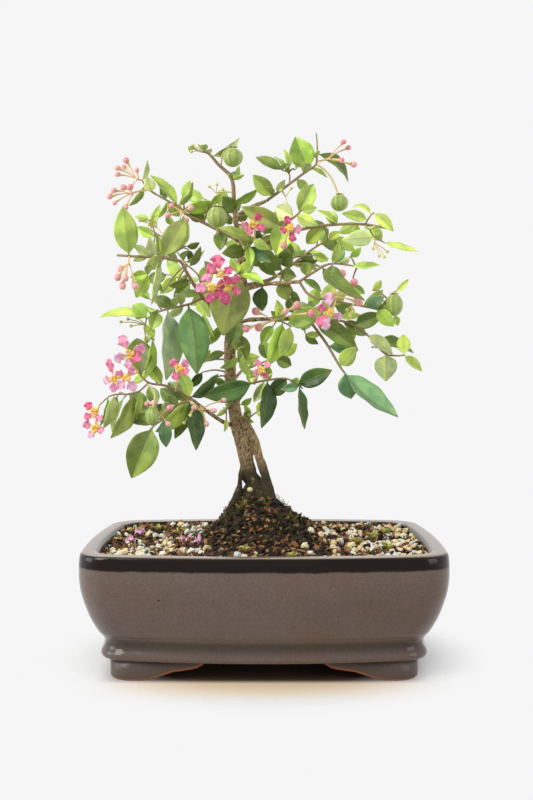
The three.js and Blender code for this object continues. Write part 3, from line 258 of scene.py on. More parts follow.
class Finish(Nodes):
    """A material whose node tree is being written round its Principled shader."""

    def __init__(self, name, **plain):
        self.material = bpy.data.materials.new(name)
        self.material.use_nodes = True
        self.tree = self.material.node_tree
        self.shader = self.tree.nodes["Principled BSDF"]
        self.place = self.node("ShaderNodeTexCoord").outputs["Object"]
        for key, value in plain.items():
            self.shader.inputs[key.replace("_", " ")].default_value = value

    def __setitem__(self, socket, value):
        self.fill(self.shader.inputs[socket], value)

    def noise(self, size, detail=3.0, roughness=0.55, stretch=(1, 1, 1)):
        """Noise with features of about `size` millimetres."""
        place = self.vector("MULTIPLY", self.place, stretch)
        return self.node("ShaderNodeTexNoise", place, inputs={
            "Scale": 1 / (size * MM), "Detail": detail, "Roughness": roughness}).outputs["Fac"]

    def cells(self, size):
        """How far the nearest of many points lies that are about `size` millimetres apart."""
        made = self.node("ShaderNodeTexVoronoi", self.place, inputs={"Scale": 1 / (size * MM)})
        return made.outputs["Distance"]

    def attribute(self, name, output="Fac"):
        return self.node("ShaderNodeAttribute", attribute_name=name).outputs[output]

    def height_share(self, start, full, wobble=None):
        """Runs from 0 at one height above the ground to 1 at another, in millimetres."""
        height = self.node("ShaderNodeSeparateXYZ", self.place).outputs["Z"]
        if wobble is not None:
            height = self.plus(height, wobble)
        return self.between(height, POT_FOOT.z + start * MM, POT_FOOT.z + full * MM)

    def patches(self, low, high, *noise):
        """Patches where noise of this size, detail, roughness and stretch rises from low to high."""
        return self.between(self.noise(*noise), low, high)

    def uv(self):
        """The UV map's two shares: across a blade from edge to edge, and along it from foot to tip."""
        split = self.node("ShaderNodeSeparateXYZ", self.node("ShaderNodeUVMap", uv_map="UVMap").outputs[0])
        return split.outputs["X"], split.outputs["Y"]

    def blend(self, share, a, b, mode="MIX"):
        made = self.node("ShaderNodeMix", data_type="RGBA", blend_type=mode, clamp_factor=True)
        for key, value in ((0, share), (6, a), (7, b)):
            if isinstance(value, tuple) and len(value) == 3:
                value = (*value, 1)
            self.fill(made.inputs[key], value)
        return made.outputs[2]

    def lay(self, base, share, strength, colour):
        """The base with a colour laid over it as far as the share says, and at most as strong as given."""
        return self.blend(self.times(share, strength), base, colour)

    def bump(self, height, depth, strength=1.0):
        """Bump whose full height is `depth` millimetres."""
        self["Normal"] = self.node("ShaderNodeBump", inputs={
            "Height": height, "Distance": depth * MM, "Strength": strength})


print("helpers ready")

# %% [markdown]
# The pot is slip-cast stoneware. Its outline is an oblong with bowed sides and round corners, and every
# level of the wall is that outline drawn in by some inset. So the wall is one skin over a list of levels:
# the underside, a ledge that rounds out below a soft groove, the belly, the rim and then the inside. The
# four feet are one bracket section swept round each corner.

# %% The pot's outline
RIM_WIDTH, RIM_DEPTH = 178, 135
FRONT_BOW, SIDE_BOW, CORNER_RADIUS, CORNER_SHRINK = 5, 2, 16, 0.3
CORNER_STEPS, SIDE_STEPS = 10, 24
WALL, UNDERSIDE, FLOOR_TOP = 9, 9.3, 16


def outline(inset, side_steps=SIDE_STEPS):
    """The pot's outline seen from above, anticlockwise, as [x, y] in millimetres."""
    half_x, half_y = RIM_WIDTH / 2 - inset, RIM_DEPTH / 2 - inset
    radius = CORNER_RADIUS - CORNER_SHRINK * inset
    corner_x, corner_y = half_x - SIDE_BOW - radius, half_y - FRONT_BOW - radius
    points = []
    for side, (turn_x, turn_y) in enumerate([(1, 1), (-1, 1), (-1, -1), (1, -1)]):
        for k in range(CORNER_STEPS + 1):
            a = math.pi / 2 * (k if side % 2 == 0 else CORNER_STEPS - k) / CORNER_STEPS
            x, y = corner_x + radius * math.cos(a), corner_y + radius * math.sin(a)
            points.append((turn_x * x, turn_y * y))
        for k in range(1, side_steps):
            t = 1 - 2 * k / side_steps
            if side % 2 == 0:
                points.append((turn_x * t * corner_x, turn_y * (half_y - FRONT_BOW * t * t)))
            else:
                points.append((turn_x * (half_x - SIDE_BOW * t * t), turn_y * t * corner_y))
    return points


def skin(rings):
    """Faces over rings of equally many points, closed by one face at each end."""
    n = len(rings[0])
    faces = [(k * n + i, k * n + (i + 1) % n, (k + 1) * n + (i + 1) % n, (k + 1) * n + i)
             for k in range(len(rings) - 1) for i in range(n)]
    last = (len(rings) - 1) * n
    return faces + [tuple(range(n - 1, -1, -1)), tuple(range(last, last + n))]


def eased(knots, steps):
    """A smooth path through its knots, with this many steps from each to the next."""
    knots = np.array(knots, float)
    before, after = 2 * knots[0] - knots[1], 2 * knots[-1] - knots[-2]
    padded = np.vstack([before, knots, after])
    path = []
    for k in range(len(knots) - 1):
        p0, p1, p2, p3 = padded[k:k + 4]
        for t in np.arange(steps) / steps:
            path.append(0.5 * (2 * p1 + (p2 - p0) * t + (2 * p0 - 5 * p1 + 4 * p2 - p3) * t * t
                               + (3 * p1 - p0 - 3 * p2 + p3) * t ** 3))
    return np.array(path + [knots[-1]])


# Each level is (height, inset). The belly is eased; ledge, groove, rim and inside are drawn as they are.
BELLY_STEPS = 6
LEDGE = [(9.3, 13.2), (9.3, 11.2), (9.6, 10.2), (10.1, 9.5), (10.9, 9.1), (11.8, 8.95), (12.6, 9.1),
         (13.4, 9.5), (14.3, 10.05), (15.4, 10.5), (16.6, 10.7), (17.7, 10.6)]
BELLY = [(18.8, 10.1), (20.5, 8.95), (23, 7.2), (30, 3.9), (40, 0.8), (47, -0.25), (53.2, -0.4)]
RIM = [(53.9, -0.35), (55.5, -0.3), (57.5, -0.15), (58.8, 0.05), (59.6, 0.35), (60.1, 0.8), (60.35, 1.6),
       (60.4, 3), (60.4, 5), (60.25, 6.4), (59.8, 7.4), (59, 8.1), (57.5, 8.5), (54, 8.6), (50, 8.6),
       (40, 10), (30, 12), (20, 16.2), (16.8, 18.4), (16, 21)]
levels = LEDGE + [tuple(level) for level in eased(BELLY, BELLY_STEPS)] + RIM
wall_rings = [[spot(x, y, z) for x, y in outline(inset)] for z, inset in levels]
print("pot wall:", len(wall_rings), "levels of", len(wall_rings[0]), "points")

# %% The pot's feet
FOOT_HALF_X, FOOT_HALF_Y, FOOT_CORNER_RADIUS = 73.5, 52, 11
FOOT_RUN_FRONT, FOOT_RUN_SIDE = 47, 34
FOOT_STEPS_FRONT, FOOT_STEPS_TURN, FOOT_STEPS_SIDE = 27, 10, 21
FOOT_TOP, FOOT_SHOULDER, BARE_LIFT = UNDERSIDE + 0.8, UNDERSIDE + 0.7, 0.7
# How high the foot's lower edge stands, at each share of the way from the corner to the foot's end
FOOT_EDGE = [(0, 0), (0.3, 0), (0.4, 0.25), (0.55, 2.4), (0.66, 4.1), (0.76, 4.7), (0.88, 5.6), (0.95, 7.4),
             (1, 9.3)]
# The foot's section: how far in from its outer face, and how far above its lower edge, or None for its top
FOOT_SECTION = [(0, None), (0, 1.6), (0.25, 0.7), (0.8, 0.15), (1.6, 0), (7.6, 0), (8.4, 0.2), (9, 1),
                (9, None)]


def foot_rings():
    """The front left foot: its section at each step from its end in front to its end at the side."""
    arc = FOOT_CORNER_RADIUS * math.pi / 2
    front, side = FOOT_RUN_FRONT - FOOT_CORNER_RADIUS, FOOT_RUN_SIDE - FOOT_CORNER_RADIUS
    shares, lifts = zip(*FOOT_EDGE)
    runs = np.concatenate([np.linspace(0, front, FOOT_STEPS_FRONT + 1),
                           front + np.linspace(0, arc, FOOT_STEPS_TURN + 1)[1:],
                           front + arc + np.linspace(0, side, FOOT_STEPS_SIDE + 1)[1:]])
    rings = []
    for run in runs:
        turn = min(max(run - front, 0), arc) / FOOT_CORNER_RADIUS
        along = min(run, front)
        x = -FOOT_HALF_X + FOOT_RUN_FRONT - along - FOOT_CORNER_RADIUS * math.sin(turn)
        y = -FOOT_HALF_Y + FOOT_CORNER_RADIUS * (1 - math.cos(turn)) + max(run - front - arc, 0)
        outward = (-math.sin(turn), -math.cos(turn))
        from_corner = (FOOT_RUN_FRONT - run) / FOOT_RUN_FRONT if run <= front else 0
        if run > front + arc:
            from_corner = (run - front - arc + FOOT_CORNER_RADIUS) / FOOT_RUN_SIDE
        low = float(np.interp(from_corner, shares, lifts))
        ring = []
        for inward, lift in FOOT_SECTION:
            z = FOOT_TOP if lift is None else min(low + lift, FOOT_SHOULDER)
            ring.append((x - outward[0] * inward, y - outward[1] * inward, z))
        rings.append(ring)
    return rings


rings = foot_rings()
foot_points, foot_faces, foot_bare = [], [], []
for mirror_x in (1, -1):
    for mirror_y in (1, -1):
        start = len(foot_points)
        foot_points += [spot(mirror_x * x, mirror_y * y, z) for ring in rings for x, y, z in ring]
        foot_faces += [tuple(start + i for i in face) for face in skin(rings)]
        for ring in rings:
            foot_bare += [0 if lift is None or lift > BARE_LIFT else 1 for inward, lift in FOOT_SECTION]
feet = face_outwards(piece_from("feet", foot_points, (), foot_faces, bare=foot_bare))
wall_points = [p for ring in wall_rings for p in ring]
wall_bare = [0] * len(wall_points)
pot = face_outwards(piece_from("glazed_pot", wall_points, (), skin(wall_rings), bare=wall_bare))
print("pot wall:", len(pot.data.polygons), "faces; feet:", len(feet.data.polygons), "faces")

# %% Drains, and the pot's finished mesh
DRAIN_RADIUS, DRAIN_X, DRAIN_SIDES, DRAIN_OVERRUN = 7, 38, 32, 3
cutters = []
for x in (-DRAIN_X, DRAIN_X):
    turns = np.linspace(0, math.tau, DRAIN_SIDES, endpoint=False)
    ring = [(x + DRAIN_RADIUS * math.cos(a), DRAIN_RADIUS * math.sin(a)) for a in turns]
    ends = (UNDERSIDE - DRAIN_OVERRUN, FLOOR_TOP + DRAIN_OVERRUN)
    rings = [[spot(px, py, z) for px, py in ring] for z in ends]
    cutter = face_outwards(piece_from("drain", [p for r in rings for p in r], (), skin(rings)))
    modifier = pot.modifiers.new("drain", "BOOLEAN")
    modifier.object, modifier.operation, modifier.solver = cutter, "DIFFERENCE", "EXACT"
    cutters.append(cutter)
settle(pot)
for cutter in cutters:
    bpy.data.objects.remove(cutter)


def take_in(piece, *others):
    """Makes the other objects' meshes part of the piece's mesh."""
    shape = bmesh.new()
    for part in (piece, *others):
        shape.from_mesh(part.data)
    shape.to_mesh(piece.data)
    shape.free()
    for part in others:
        bpy.data.objects.remove(part)


take_in(pot, feet)
print("pot with drains and feet:", len(pot.data.polygons), "faces")

# %% [markdown]
# The glaze is a glossy taupe with fine dark specks. It breaks to nearly black on the rim and lighter on the
# lip, where a painted highlight is laid on it as well, and it is darker in the groove. The feet carry
# painted shade, and their undersides are bare terracotta. Height above the ground tells where most of these
# are, so
# Object coordinates are enough. Only the bare undersides are marked in the mesh itself.

# %% Glaze
glaze = Finish("speckled_taupe_glaze", Specular_IOR_Level=0.26, Coat_Weight=0.16, Coat_Roughness=0.06)
body_colour = glaze.blend(glaze.noise(28, 3), (0.141, 0.100, 0.081), (0.206, 0.152, 0.127))
streaks = glaze.patches(0.45, 0.7, 4, 3, 0.6, (1, 1, 0.3))
body_colour = glaze.lay(body_colour, streaks, 0.3, (0.18, 0.145, 0.125))
warm = glaze.patches(0.5, 0.75, 60, 2)
body_colour = glaze.lay(body_colour, warm, 0.5, (0.16, 0.085, 0.045))
grain = glaze.blend(glaze.patches(0.3, 0.7, 0.7, 2), (0.86, 0.86, 0.87), (1.14, 1.13, 1.12))
body_colour = glaze.blend(1.0, body_colour, grain, "MULTIPLY")
specks = glaze.patches(0.62, 0.75, 0.9, 2)
body_colour = glaze.lay(body_colour, specks, 0.5, (0.04, 0.028, 0.02))
groove_share = glaze.times(glaze.height_share(20.4, 17.8), glaze.height_share(11.5, 16.8))
body_colour = glaze.lay(body_colour, groove_share, 0.62, (0.03, 0.018, 0.013))
ledge_share = glaze.height_share(18.5, 16)
body_colour = glaze.lay(body_colour, ledge_share, 0.2, (0.06, 0.042, 0.034))
pits = glaze.between(glaze.cells(17), 0.05, 0.03)
body_colour = glaze.blend(pits, body_colour, (0.02, 0.012, 0.01))
wobble = glaze.times(glaze.minus(glaze.noise(14, 3), 0.5), 2.4 * MM)
rim_share = glaze.height_share(53.2, 54.4, wobble)
body_colour = glaze.blend(rim_share, body_colour, (0.012, 0.006, 0.004))
# The lip is lighter: the glaze breaks to brown there, and a painted highlight is laid over it as well.
lip_break_and_highlight = glaze.height_share(59.7, 60.3)
body_colour = glaze.lay(body_colour, lip_break_and_highlight, 0.75, (0.34, 0.25, 0.18))
# The feet are painted darker as shade, and they are also made rougher.
feet_shade_and_matte_share = glaze.height_share(9.6, 8.8)
body_colour = glaze.lay(body_colour, feet_shade_and_matte_share, 0.4, (0.035, 0.024, 0.02))
bare_share = glaze.between(glaze.attribute("bare"), 0.35, 0.6)
glaze["Base Color"] = glaze.blend(bare_share, body_colour, (0.36, 0.13, 0.06))
bare_roughness = glaze.between(bare_share, 0.0, 1.0, 0.16, 0.8)
glaze["Roughness"] = glaze.math("MAXIMUM", bare_roughness, glaze.times(feet_shade_and_matte_share, 0.4))
relief = glaze.minus(glaze.noise(3, 3), glaze.times(pits, 2.0))
glaze.bump(relief, 0.12, 0.35)
pot.data.materials.append(glaze.material)
pot.data.shade_smooth()
hand_over(pot, "glaze", "pot")

# %% [markdown]
# The tree grows from a mound of dark soil, with level gravel round it. The mound is one formula of the
# distance from its middle. A flank to the right and a slight rise to the back are added, and a little noise
# makes it crumbly. The grid runs out to the pot's wall, then down along the inside of the pot, so that the
# soil is a closed body.

# %% Soil
SOIL_EDGE_Z, SOIL_GAP, SOIL_SIDE_STEPS, SOIL_RINGS, RING_SPREAD = 54.5, 0.55, 30, 70, 1.15
SOIL_BELOW = [(16.2, 18.2), (30, 12.1), (50, 8.7)]
MOUND_X, MOUND_Y, MOUND_HEIGHT, MOUND_REACH, MOUND_SQUEEZE = -4.5, -4, 22, 19.5, 1.15
SKIRT_HEIGHT, SKIRT_REACH = 3, 38
FLANK_X, FLANK_Y, FLANK_HEIGHT, FLANK_REACH_X, FLANK_REACH_Y = 23, -2, 6.5, 13, 16
BACK_HEIGHT, BACK_START, BACK_REACH = 2.6, 8, 36


def ramp(value, start, reach):
    """Runs from 0 at the start to 1 at one reach farther on."""
    return min(1, max(0, (value - start) / reach))


def from_mound(x, y):
    """How far a place lies from the mound's middle. The mound is a little wider than it is deep."""
    return math.hypot(x - MOUND_X, (y - MOUND_Y) * MOUND_SQUEEZE)


def soil_height(x, y):
    far = from_mound(x, y)
    skirt = SKIRT_HEIGHT * math.exp(-((far / SKIRT_REACH) ** 2))
    mound = MOUND_HEIGHT / (1 + (far / MOUND_REACH) ** 4) + skirt
    flank_x, flank_y = (x - FLANK_X) / FLANK_REACH_X, (y - FLANK_Y) / FLANK_REACH_Y
    flank = FLANK_HEIGHT * math.exp(-(flank_x ** 2) - flank_y ** 2)
    behind = BACK_HEIGHT * ramp(y, BACK_START, BACK_REACH)
    crumbs = 0.5 * math.sin(0.9 * x + 0.4 * y) * math.cos(0.7 * y - 0.3 * x)
    return SOIL_EDGE_Z + mound + flank + behind + crumbs


def crumble(x, y):
    """Fine lumps, as soil has after watering."""
    place = Vector((x, y, 0))
    return 1.1 * noise.fractal(place * 0.16, 0.7, 2.1, 4) + 0.45 * noise.noise(place * 0.9)


edge = outline(WALL - SOIL_GAP, SOIL_SIDE_STEPS)
soil_rings = [[(x, y, z) for x, y in outline(inset, SOIL_SIDE_STEPS)] for z, inset in SOIL_BELOW]
for k in range(SOIL_RINGS):
    share = (1 - k / SOIL_RINGS) ** RING_SPREAD
    ring = []
    for x, y in edge:
        px, py = MOUND_X * (1 - share) + x * share, MOUND_Y * (1 - share) + y * share
        ring.append((px, py, soil_height(px, py) + crumble(px, py)))
    soil_rings.append(ring)
soil_points = [spot(*place) for ring in soil_rings for place in ring]
soil = face_outwards(piece_from("potting_soil", soil_points, (), skin(soil_rings)))
soil.data.shade_smooth()
print("soil:", len(soil.data.polygons), "faces, top at", round(max(p.z for p in soil_points), 4), "m")

# %% Soil finish
earth = Finish("moist_dark_soil", Roughness=0.9)
lumps = earth.blend(earth.noise(3, 5, 0.7), (0.012, 0.009, 0.007), (0.07, 0.05, 0.035))
rust = earth.patches(0.58, 0.68, 4.5, 3)
earth["Base Color"] = earth.lay(lumps, rust, 0.8, (0.26, 0.10, 0.045))
earth.bump(earth.noise(0.9, 5, 0.7), 1.2, 0.8)
soil.data.materials.append(earth.material)
hand_over(soil, "soil", "soil")

# %% [markdown]
# On the soil lie crushed pumice, dark bark chips, rust-brown flakes and crumbs, and moss grows on the
# mound. One Geometry Nodes rule scatters a rough stone over the soil's upper face, as densely as an
# attribute says. Each kind is that rule with other sizes. The moss is the same rule with a curved strand in
# place of the stone.

# %% A rule that scatters stones or strands
STRAND_STEPS, STRAND_SIDES, STRAND_RADIUS = 4, 3, 0.05
TURN_SEED, SIZE_SEED, SHAPE_SEED, TONE_SEED = 11, 12, 13, 14


def draw_between(rule, low, high, seed):
    """A random draw for each point: one number between two plain numbers, or else three, as a vector."""
    kind = "FLOAT" if isinstance(low, float) else "FLOAT_VECTOR"
    made = rule.node("FunctionNodeRandomValue", data_type=kind)
    for socket in made.inputs:
        if socket.enabled and socket.name in ("Min", "Max", "Seed"):
            rule.fill(socket, {"Min": low, "Max": high, "Seed": seed}[socket.name])
    return next(o for o in made.outputs if o.enabled)


def strand(rule):
    """A thin curved strand, one unit long, that stands on its foot."""
    line = rule.node("GeometryNodeCurveQuadraticBezier", inputs={
        "Resolution": STRAND_STEPS, "Start": (0, 0, 0), "Middle": (0, 0, 0.6), "End": (0.45, 0, 0.9)})
    profile = rule.node("GeometryNodeCurvePrimitiveCircle", inputs={
        "Resolution": STRAND_SIDES, "Radius": STRAND_RADIUS})
    return rule.node("GeometryNodeCurveToMesh", line, profile.outputs[0]).outputs[0]


def scatter_rule(name, of_strands=False):
    rule = Rule(name, Density=400000.0, Apart=2 * MM, Small=1 * MM, Large=2 * MM, Flat=0.6, Long=1.0,
                Tilt=0.6, Rough=0.3, Detail=1, Seed=1, Skin=None)
    scattered = rule.node("GeometryNodeDistributePointsOnFaces", rule["Geometry"],
                          distribute_method="POISSON", inputs={
                              "Distance Min": rule["Apart"], "Density Max": rule["Density"],
                              "Density Factor": rule.read("where"), "Seed": rule["Seed"]})
    if of_strands:
        stone = strand(rule)
    else:
        stone = rule.node("GeometryNodeMeshIcoSphere", 1.0, rule["Detail"]).outputs[0]
    tilt = rule["Tilt"]
    lean = rule.node("ShaderNodeCombineXYZ", tilt, tilt, math.pi).outputs[0]
    turn = draw_between(rule, rule.scaled(lean, -1.0), lean, TURN_SEED)
    size = draw_between(rule, rule["Small"], rule["Large"], SIZE_SEED)
    least = rule.node("ShaderNodeCombineXYZ", 0.7, 0.6, rule.times(rule["Flat"], 0.75)).outputs[0]
    most = rule.node("ShaderNodeCombineXYZ", rule["Long"], 0.95, rule["Flat"]).outputs[0]
    shape = draw_between(rule, least, most, SHAPE_SEED)
    placed = rule.node("GeometryNodeInstanceOnPoints", scattered, inputs={
        "Instance": stone, "Rotation": turn, "Scale": rule.scaled(shape, size)}).outputs[0]
    placed = rule.store(placed, "tone", draw_between(rule, 0.0, 1.0, TONE_SEED), domain="INSTANCE")
    placed = rule.node("GeometryNodeRealizeInstances", placed).outputs[0]
    ripple = rule.noise(rule.node("GeometryNodeInputPosition").outputs[0], 2.2, output="Color")
    shift = rule.vector("SUBTRACT", ripple, (0.5, 0.5, 0.5))
    placed = rule.moved(placed, Offset=rule.scaled(shift, rule.times(rule["Rough"], rule["Large"])))
    return rule.done(rule.coat(rule.shaded(placed, False), rule["Skin"]))


stones, strands = scatter_rule("scattered stones"), scatter_rule("scattered strands", True)
top_rings = soil_rings[len(SOIL_BELOW):]
top_places = [p for ring in top_rings for p in ring]


def face_up(piece):
    if sum(polygon.normal.z for polygon in piece.data.polygons) < 0:
        piece.data.flip_normals()
    return piece


def strew(name, tree, where, lift, skin_material, **values):
    """Scatters stones on the soil's upper face. `where` gives each place a share of the full density."""
    carrier = piece_from(name, [spot(x, y, z + lift) for x, y, z in top_places], (), skin(top_rings)[:-2],
                         where=[min(1, max(0, where(x, y))) for x, y, z in top_places])
    grow(face_up(carrier), tree, Skin=skin_material, **values)
    print(name + ":", len(carrier.data.polygons), "faces")
    return hand_over(carrier, "soil")


def patchy(x, y, size, seed):
    """Slow noise round 0.5."""
    return 0.5 + 0.9 * noise.noise(Vector((x / size, y / size, seed)))


# %% Gravel, chips, crumbs and moss
def toned(name, *colours, roughness=0.85, grain=0.5, depth=0.2, patch=(0.5, 0.5, 0.5)):
    """A finish whose colour runs through these, from stone to stone."""
    finish = Finish(name, Roughness=roughness, Specular_IOR_Level=0.18)
    tone, colour = finish.attribute("tone"), colours[0]
    for k, later in enumerate(colours[1:]):
        start = (k + 0.6) / len(colours)
        colour = finish.blend(finish.between(tone, start, start + 0.25), colour, later)
    patches = finish.patches(0.4, 0.7, grain, 3)
    finish["Base Color"] = finish.blend(patches, colour, finish.blend(1.0, colour, patch, "MULTIPLY"))
    finish.bump(finish.noise(grain, 4, 0.7), depth, 0.9)
    return finish.material


pumice = toned("crushed_pumice", (0.95, 0.82, 0.46), (0.97, 0.94, 0.80), (0.74, 0.78, 0.78),
               (0.84, 0.64, 0.34), patch=(0.72, 0.70, 0.62))
dark_chip = toned("dark_bark_chip", (0.028, 0.020, 0.016), (0.085, 0.05, 0.032), (0.045, 0.032, 0.026))
rust_chip = toned("rust_bark_flake", (0.36, 0.14, 0.06), (0.20, 0.08, 0.04), (0.50, 0.28, 0.13))
crumb = toned("soil_crumb", (0.024, 0.018, 0.013), (0.065, 0.058, 0.02), (0.035, 0.026, 0.016),
              (0.30, 0.19, 0.09))
moss = toned("moss_strand", (0.13, 0.15, 0.025), (0.40, 0.38, 0.07), (0.05, 0.07, 0.02))
CHIP_SHARE, CRUMB_REACH, MOSS_REACH, MOUND_EDGE = 0.9, 46, 33, 12


def gravel_share(x, y):
    """Clusters round the mound, closer together at the two sides, and few at the back left."""
    sides = ramp(abs(x + 4), 22, 22)
    clusters = min(1, max(0.06, 3.2 * patchy(x, y, 9, 3) - 1.05))
    bare_back = ramp(y, 14, 16) * ramp(-x, 8, 14)
    return ramp(from_mound(x, y), 26, 14) * (0.2 + 0.7 * sides) * clusters * (1 - 0.8 * bare_back) + 0.02


def flake_share(x, y):
    """Patches everywhere, a little thinner on the mound."""
    return (0.15 + 0.8 * patchy(x, y, 12, 8)) * max(0.7, min(1, from_mound(x, y) / 26) ** 2)


def crumb_share(x, y):
    return (CRUMB_REACH - from_mound(x, y)) / MOUND_EDGE


def moss_share(x, y):
    return (MOSS_REACH - from_mound(x, y)) / MOUND_EDGE * (patchy(x, y, 7, 5) - 0.35)


strew("pumice_gravel", stones, gravel_share, 0.8, pumice, Apart=3.5 * MM, Small=1.8 * MM, Large=3.5 * MM,
      Flat=0.8, Tilt=1.5, Rough=0.75, Detail=1, Seed=4)
strew("dark_chips", stones, lambda x, y: CHIP_SHARE, 0.5, dark_chip, Apart=2.7 * MM, Small=1.2 * MM,
      Large=2.9 * MM, Long=1.5, Flat=0.5, Tilt=0.8, Rough=0.6, Seed=5)
strew("rust_flakes", stones, flake_share, 1.5, rust_chip, Apart=2.9 * MM, Small=0.8 * MM, Large=2.2 * MM,
      Long=1.9, Flat=0.4, Tilt=0.9, Rough=0.5, Seed=6)
strew("mound_crumbs", stones, crumb_share, 0.3, crumb, Apart=1.5 * MM, Small=0.6 * MM, Large=2.2 * MM,
      Long=1.3, Flat=0.8, Tilt=1.5, Rough=0.8, Seed=7)
strew("moss_tufts", strands, moss_share, 0.3, moss, Apart=0.6 * MM, Small=1.6 * MM, Large=4.6 * MM,
      Flat=1.0, Tilt=1.0, Rough=0.2, Density=3000000.0, Seed=8)

# %% [markdown]
# A young tree's wood is one body, but it is easiest to write as stems: a path, and how thick the stem is at
# each of its points. All the stems become one skin through a volume, which melts the forks into each other
# as bark does. The bark's cracks and knots are noise along the skin's normals. Its colour is greener from
# algae low on the trunk, and dark where the soil keeps it damp.

# %% Bark
wood = Finish("grey_brown_bark", Roughness=0.85)
bark_colour = wood.blend(wood.noise(7, 4), (0.30, 0.185, 0.085), (0.66, 0.47, 0.25))
fissures = wood.patches(0.46, 0.60, 0.9, 4, 0.65, (1, 1, 0.5))
bark_colour = wood.lay(bark_colour, fissures, 0.85, (0.07, 0.042, 0.018))
flakes = wood.patches(0.58, 0.66, 1.3, 3, 0.6, (0.7, 0.7, 1))
bark_colour = wood.lay(bark_colour, flakes, 0.6, (0.90, 0.70, 0.38))
lenticels = wood.between(wood.cells(1.5), 0.28, 0.16)
bark_colour = wood.lay(bark_colour, lenticels, 0.6, (0.92, 0.74, 0.42))
algae = wood.times(wood.height_share(118, 78), wood.patches(0.42, 0.62, 6, 3))
bark_colour = wood.lay(bark_colour, algae, 0.5, (0.24, 0.22, 0.055))
damp = wood.times(wood.height_share(103, 91), wood.patches(0.15, 0.4, 4, 3))
wood["Base Color"] = wood.lay(bark_colour, damp, 0.93, (0.030, 0.020, 0.010))
wood.bump(wood.noise(0.8, 4, 0.65, (1, 1, 0.3)), 0.8, 1.0)
bark = wood.material

# %% The woody stems: radii, then places [across, up, depth], in millimetres
WOOD_STEPS, THINNEST = 6, 0.05 * MM
STEMS = {
    "trunk": (
        [12, 9.4, 7, 6.4, 4.5, 4.5, 4.4, 3.9, 4, 4, 3.9, 3.7, 3.4, 5.2, 5, 3.3, 3.3, 3, 2.6, 2.3, 2, 1.4],
        [[-4.5, 66, 0], [-5, 78, 0], [-4.6, 83.5, 0], [-4.9, 85.6, 1], [-5.2, 88.2, 1], [-7.8, 91.6, 1],
         [-8.4, 94.8, 1], [-8.9, 98, 1], [-9.6, 101, 1], [-11.2, 108, 0], [-13.3, 115, 0], [-14.8, 122, 0],
         [-16, 129.5, 0], [-16.3, 132, 0], [-16.8, 135.5, 0], [-17.6, 140, 0], [-17.8, 158, 1],
         [-17, 170, 2], [-14, 180, 3], [-11, 190, 3], [-12, 201, 3], [-15, 226, 2]]),
    "second_stem": ([5, 4.2, 3.5, 2.9, 2.4, 2.6, 2.6, 2.4, 2.4, 2.4, 2.5, 2.5],
        [[3.5, 66, -3], [2.2, 79, -3], [1.5, 85, -2.5], [1, 88.5, -2], [0.5, 91.6, -2], [-0.5, 94.7, -1],
         [-1.5, 97.8, -1], [-2.6, 101, -1], [-4.2, 107.2, 0], [-5.6, 111, 0], [-8.4, 116.5, 0],
         [-12.5, 121.5, 0]]),
    "left_root": ([2.2, 2, 2, 1.5, 1.3, 1.5, 1.5],
        [[-20, 70, -9], [-15.6, 79, -7], [-13.2, 84.6, -4], [-12.8, 87, -3], [-12.7, 89, -3],
         [-12.2, 92.5, -2], [-11, 97, 0]]),
    "front_root": ([1.8, 1.7, 1.6], [[3, 68, -15], [-1, 77, -9], [-5, 86, -3]]),
    "back_root": ([1.8, 1.7, 1.6], [[-9, 69, 17], [-8, 78, 9], [-8, 87, 3]]),
    "low_left": ([1.5, 1.25, 1.15, 1.1],
        [[-14, 117, 0], [-22, 120, -5], [-30, 125.5, -12], [-37, 131, -18]]),
    "low_left_back": ([1.1, 0.95], [[-30, 125.5, -12], [-38, 128, 4]]),
    "low_back": ([1.2, 1], [[-17, 140, 0], [-12, 146, 16]]),
    "right_low": ([1.5, 1.4, 1.35, 1.25, 1.1],
        [[-16, 170, 2], [-8, 172.5, 0], [6, 173, -4], [14, 173, -6], [24, 171.5, -8]]),
    "left_limb": ([1.7, 1.6, 1.4], [[-17, 168, 0], [-24, 176, -5], [-32, 184, -10]]),
    "left_back": ([1.3, 1.1], [[-15, 177, 2], [-26, 185, 18]]),
    "top_left": ([1.5, 1.35], [[-13.5, 214, 2], [-20, 217, 5]]),
    "top_back": ([1.3, 1.1], [[-14, 221, 2], [-18, 226, 13]]),
    "top_right": ([1.5, 1.3, 1.2], [[-14.5, 226, 2], [-7.5, 230.3, 0], [1, 234, -2]]),
    "centre_right": ([1.4, 1.3, 1.15], [[-12, 202, 3], [-5, 208.5, -4], [4, 215, -10]]),
    "right_limb": ([1.3, 1.25], [[0, 211.6, -8], [10, 216.5, -14]]),
    "right_back": ([1.4, 1.25, 1.1], [[-11, 190, 3], [3, 193.5, 12], [13, 200, 20]]),
    "right_mid": ([1.5, 1.4, 1.25, 1.1], [[-11, 188, 3], [0, 191, -4], [8, 191.5, -8], [18, 192.3, -13]]),
    "back_limb": ([1.5, 1.3], [[-12, 197, 3], [-12, 205, 18]]),
}


def stem_paths(rows, steps):
    """Points, edges, thickness and tint for stems.

    A row is (radii, places, tint at its start, tint at its end)."""
    points, edges, thick, tints = [], [], [], []
    for row in rows:
        radii, places = row[:2]
        path = eased([(*p, r * MM) for p, r in zip(places, radii)], steps)
        edges += [(len(points) + i, len(points) + i + 1) for i in range(len(path) - 1)]
        points += [Vector(p[:3]) for p in path]
        thick += [max(p[3], THINNEST) for p in path]
        colours = np.array(row[2:] or [(1, 1, 1, 1)], float)
        share = np.linspace(0, 1, len(path))[:, None] ** 1.5
        tints += list(colours[0] * (1 - share) + colours[-1] * share)
    return points, edges, thick, tints


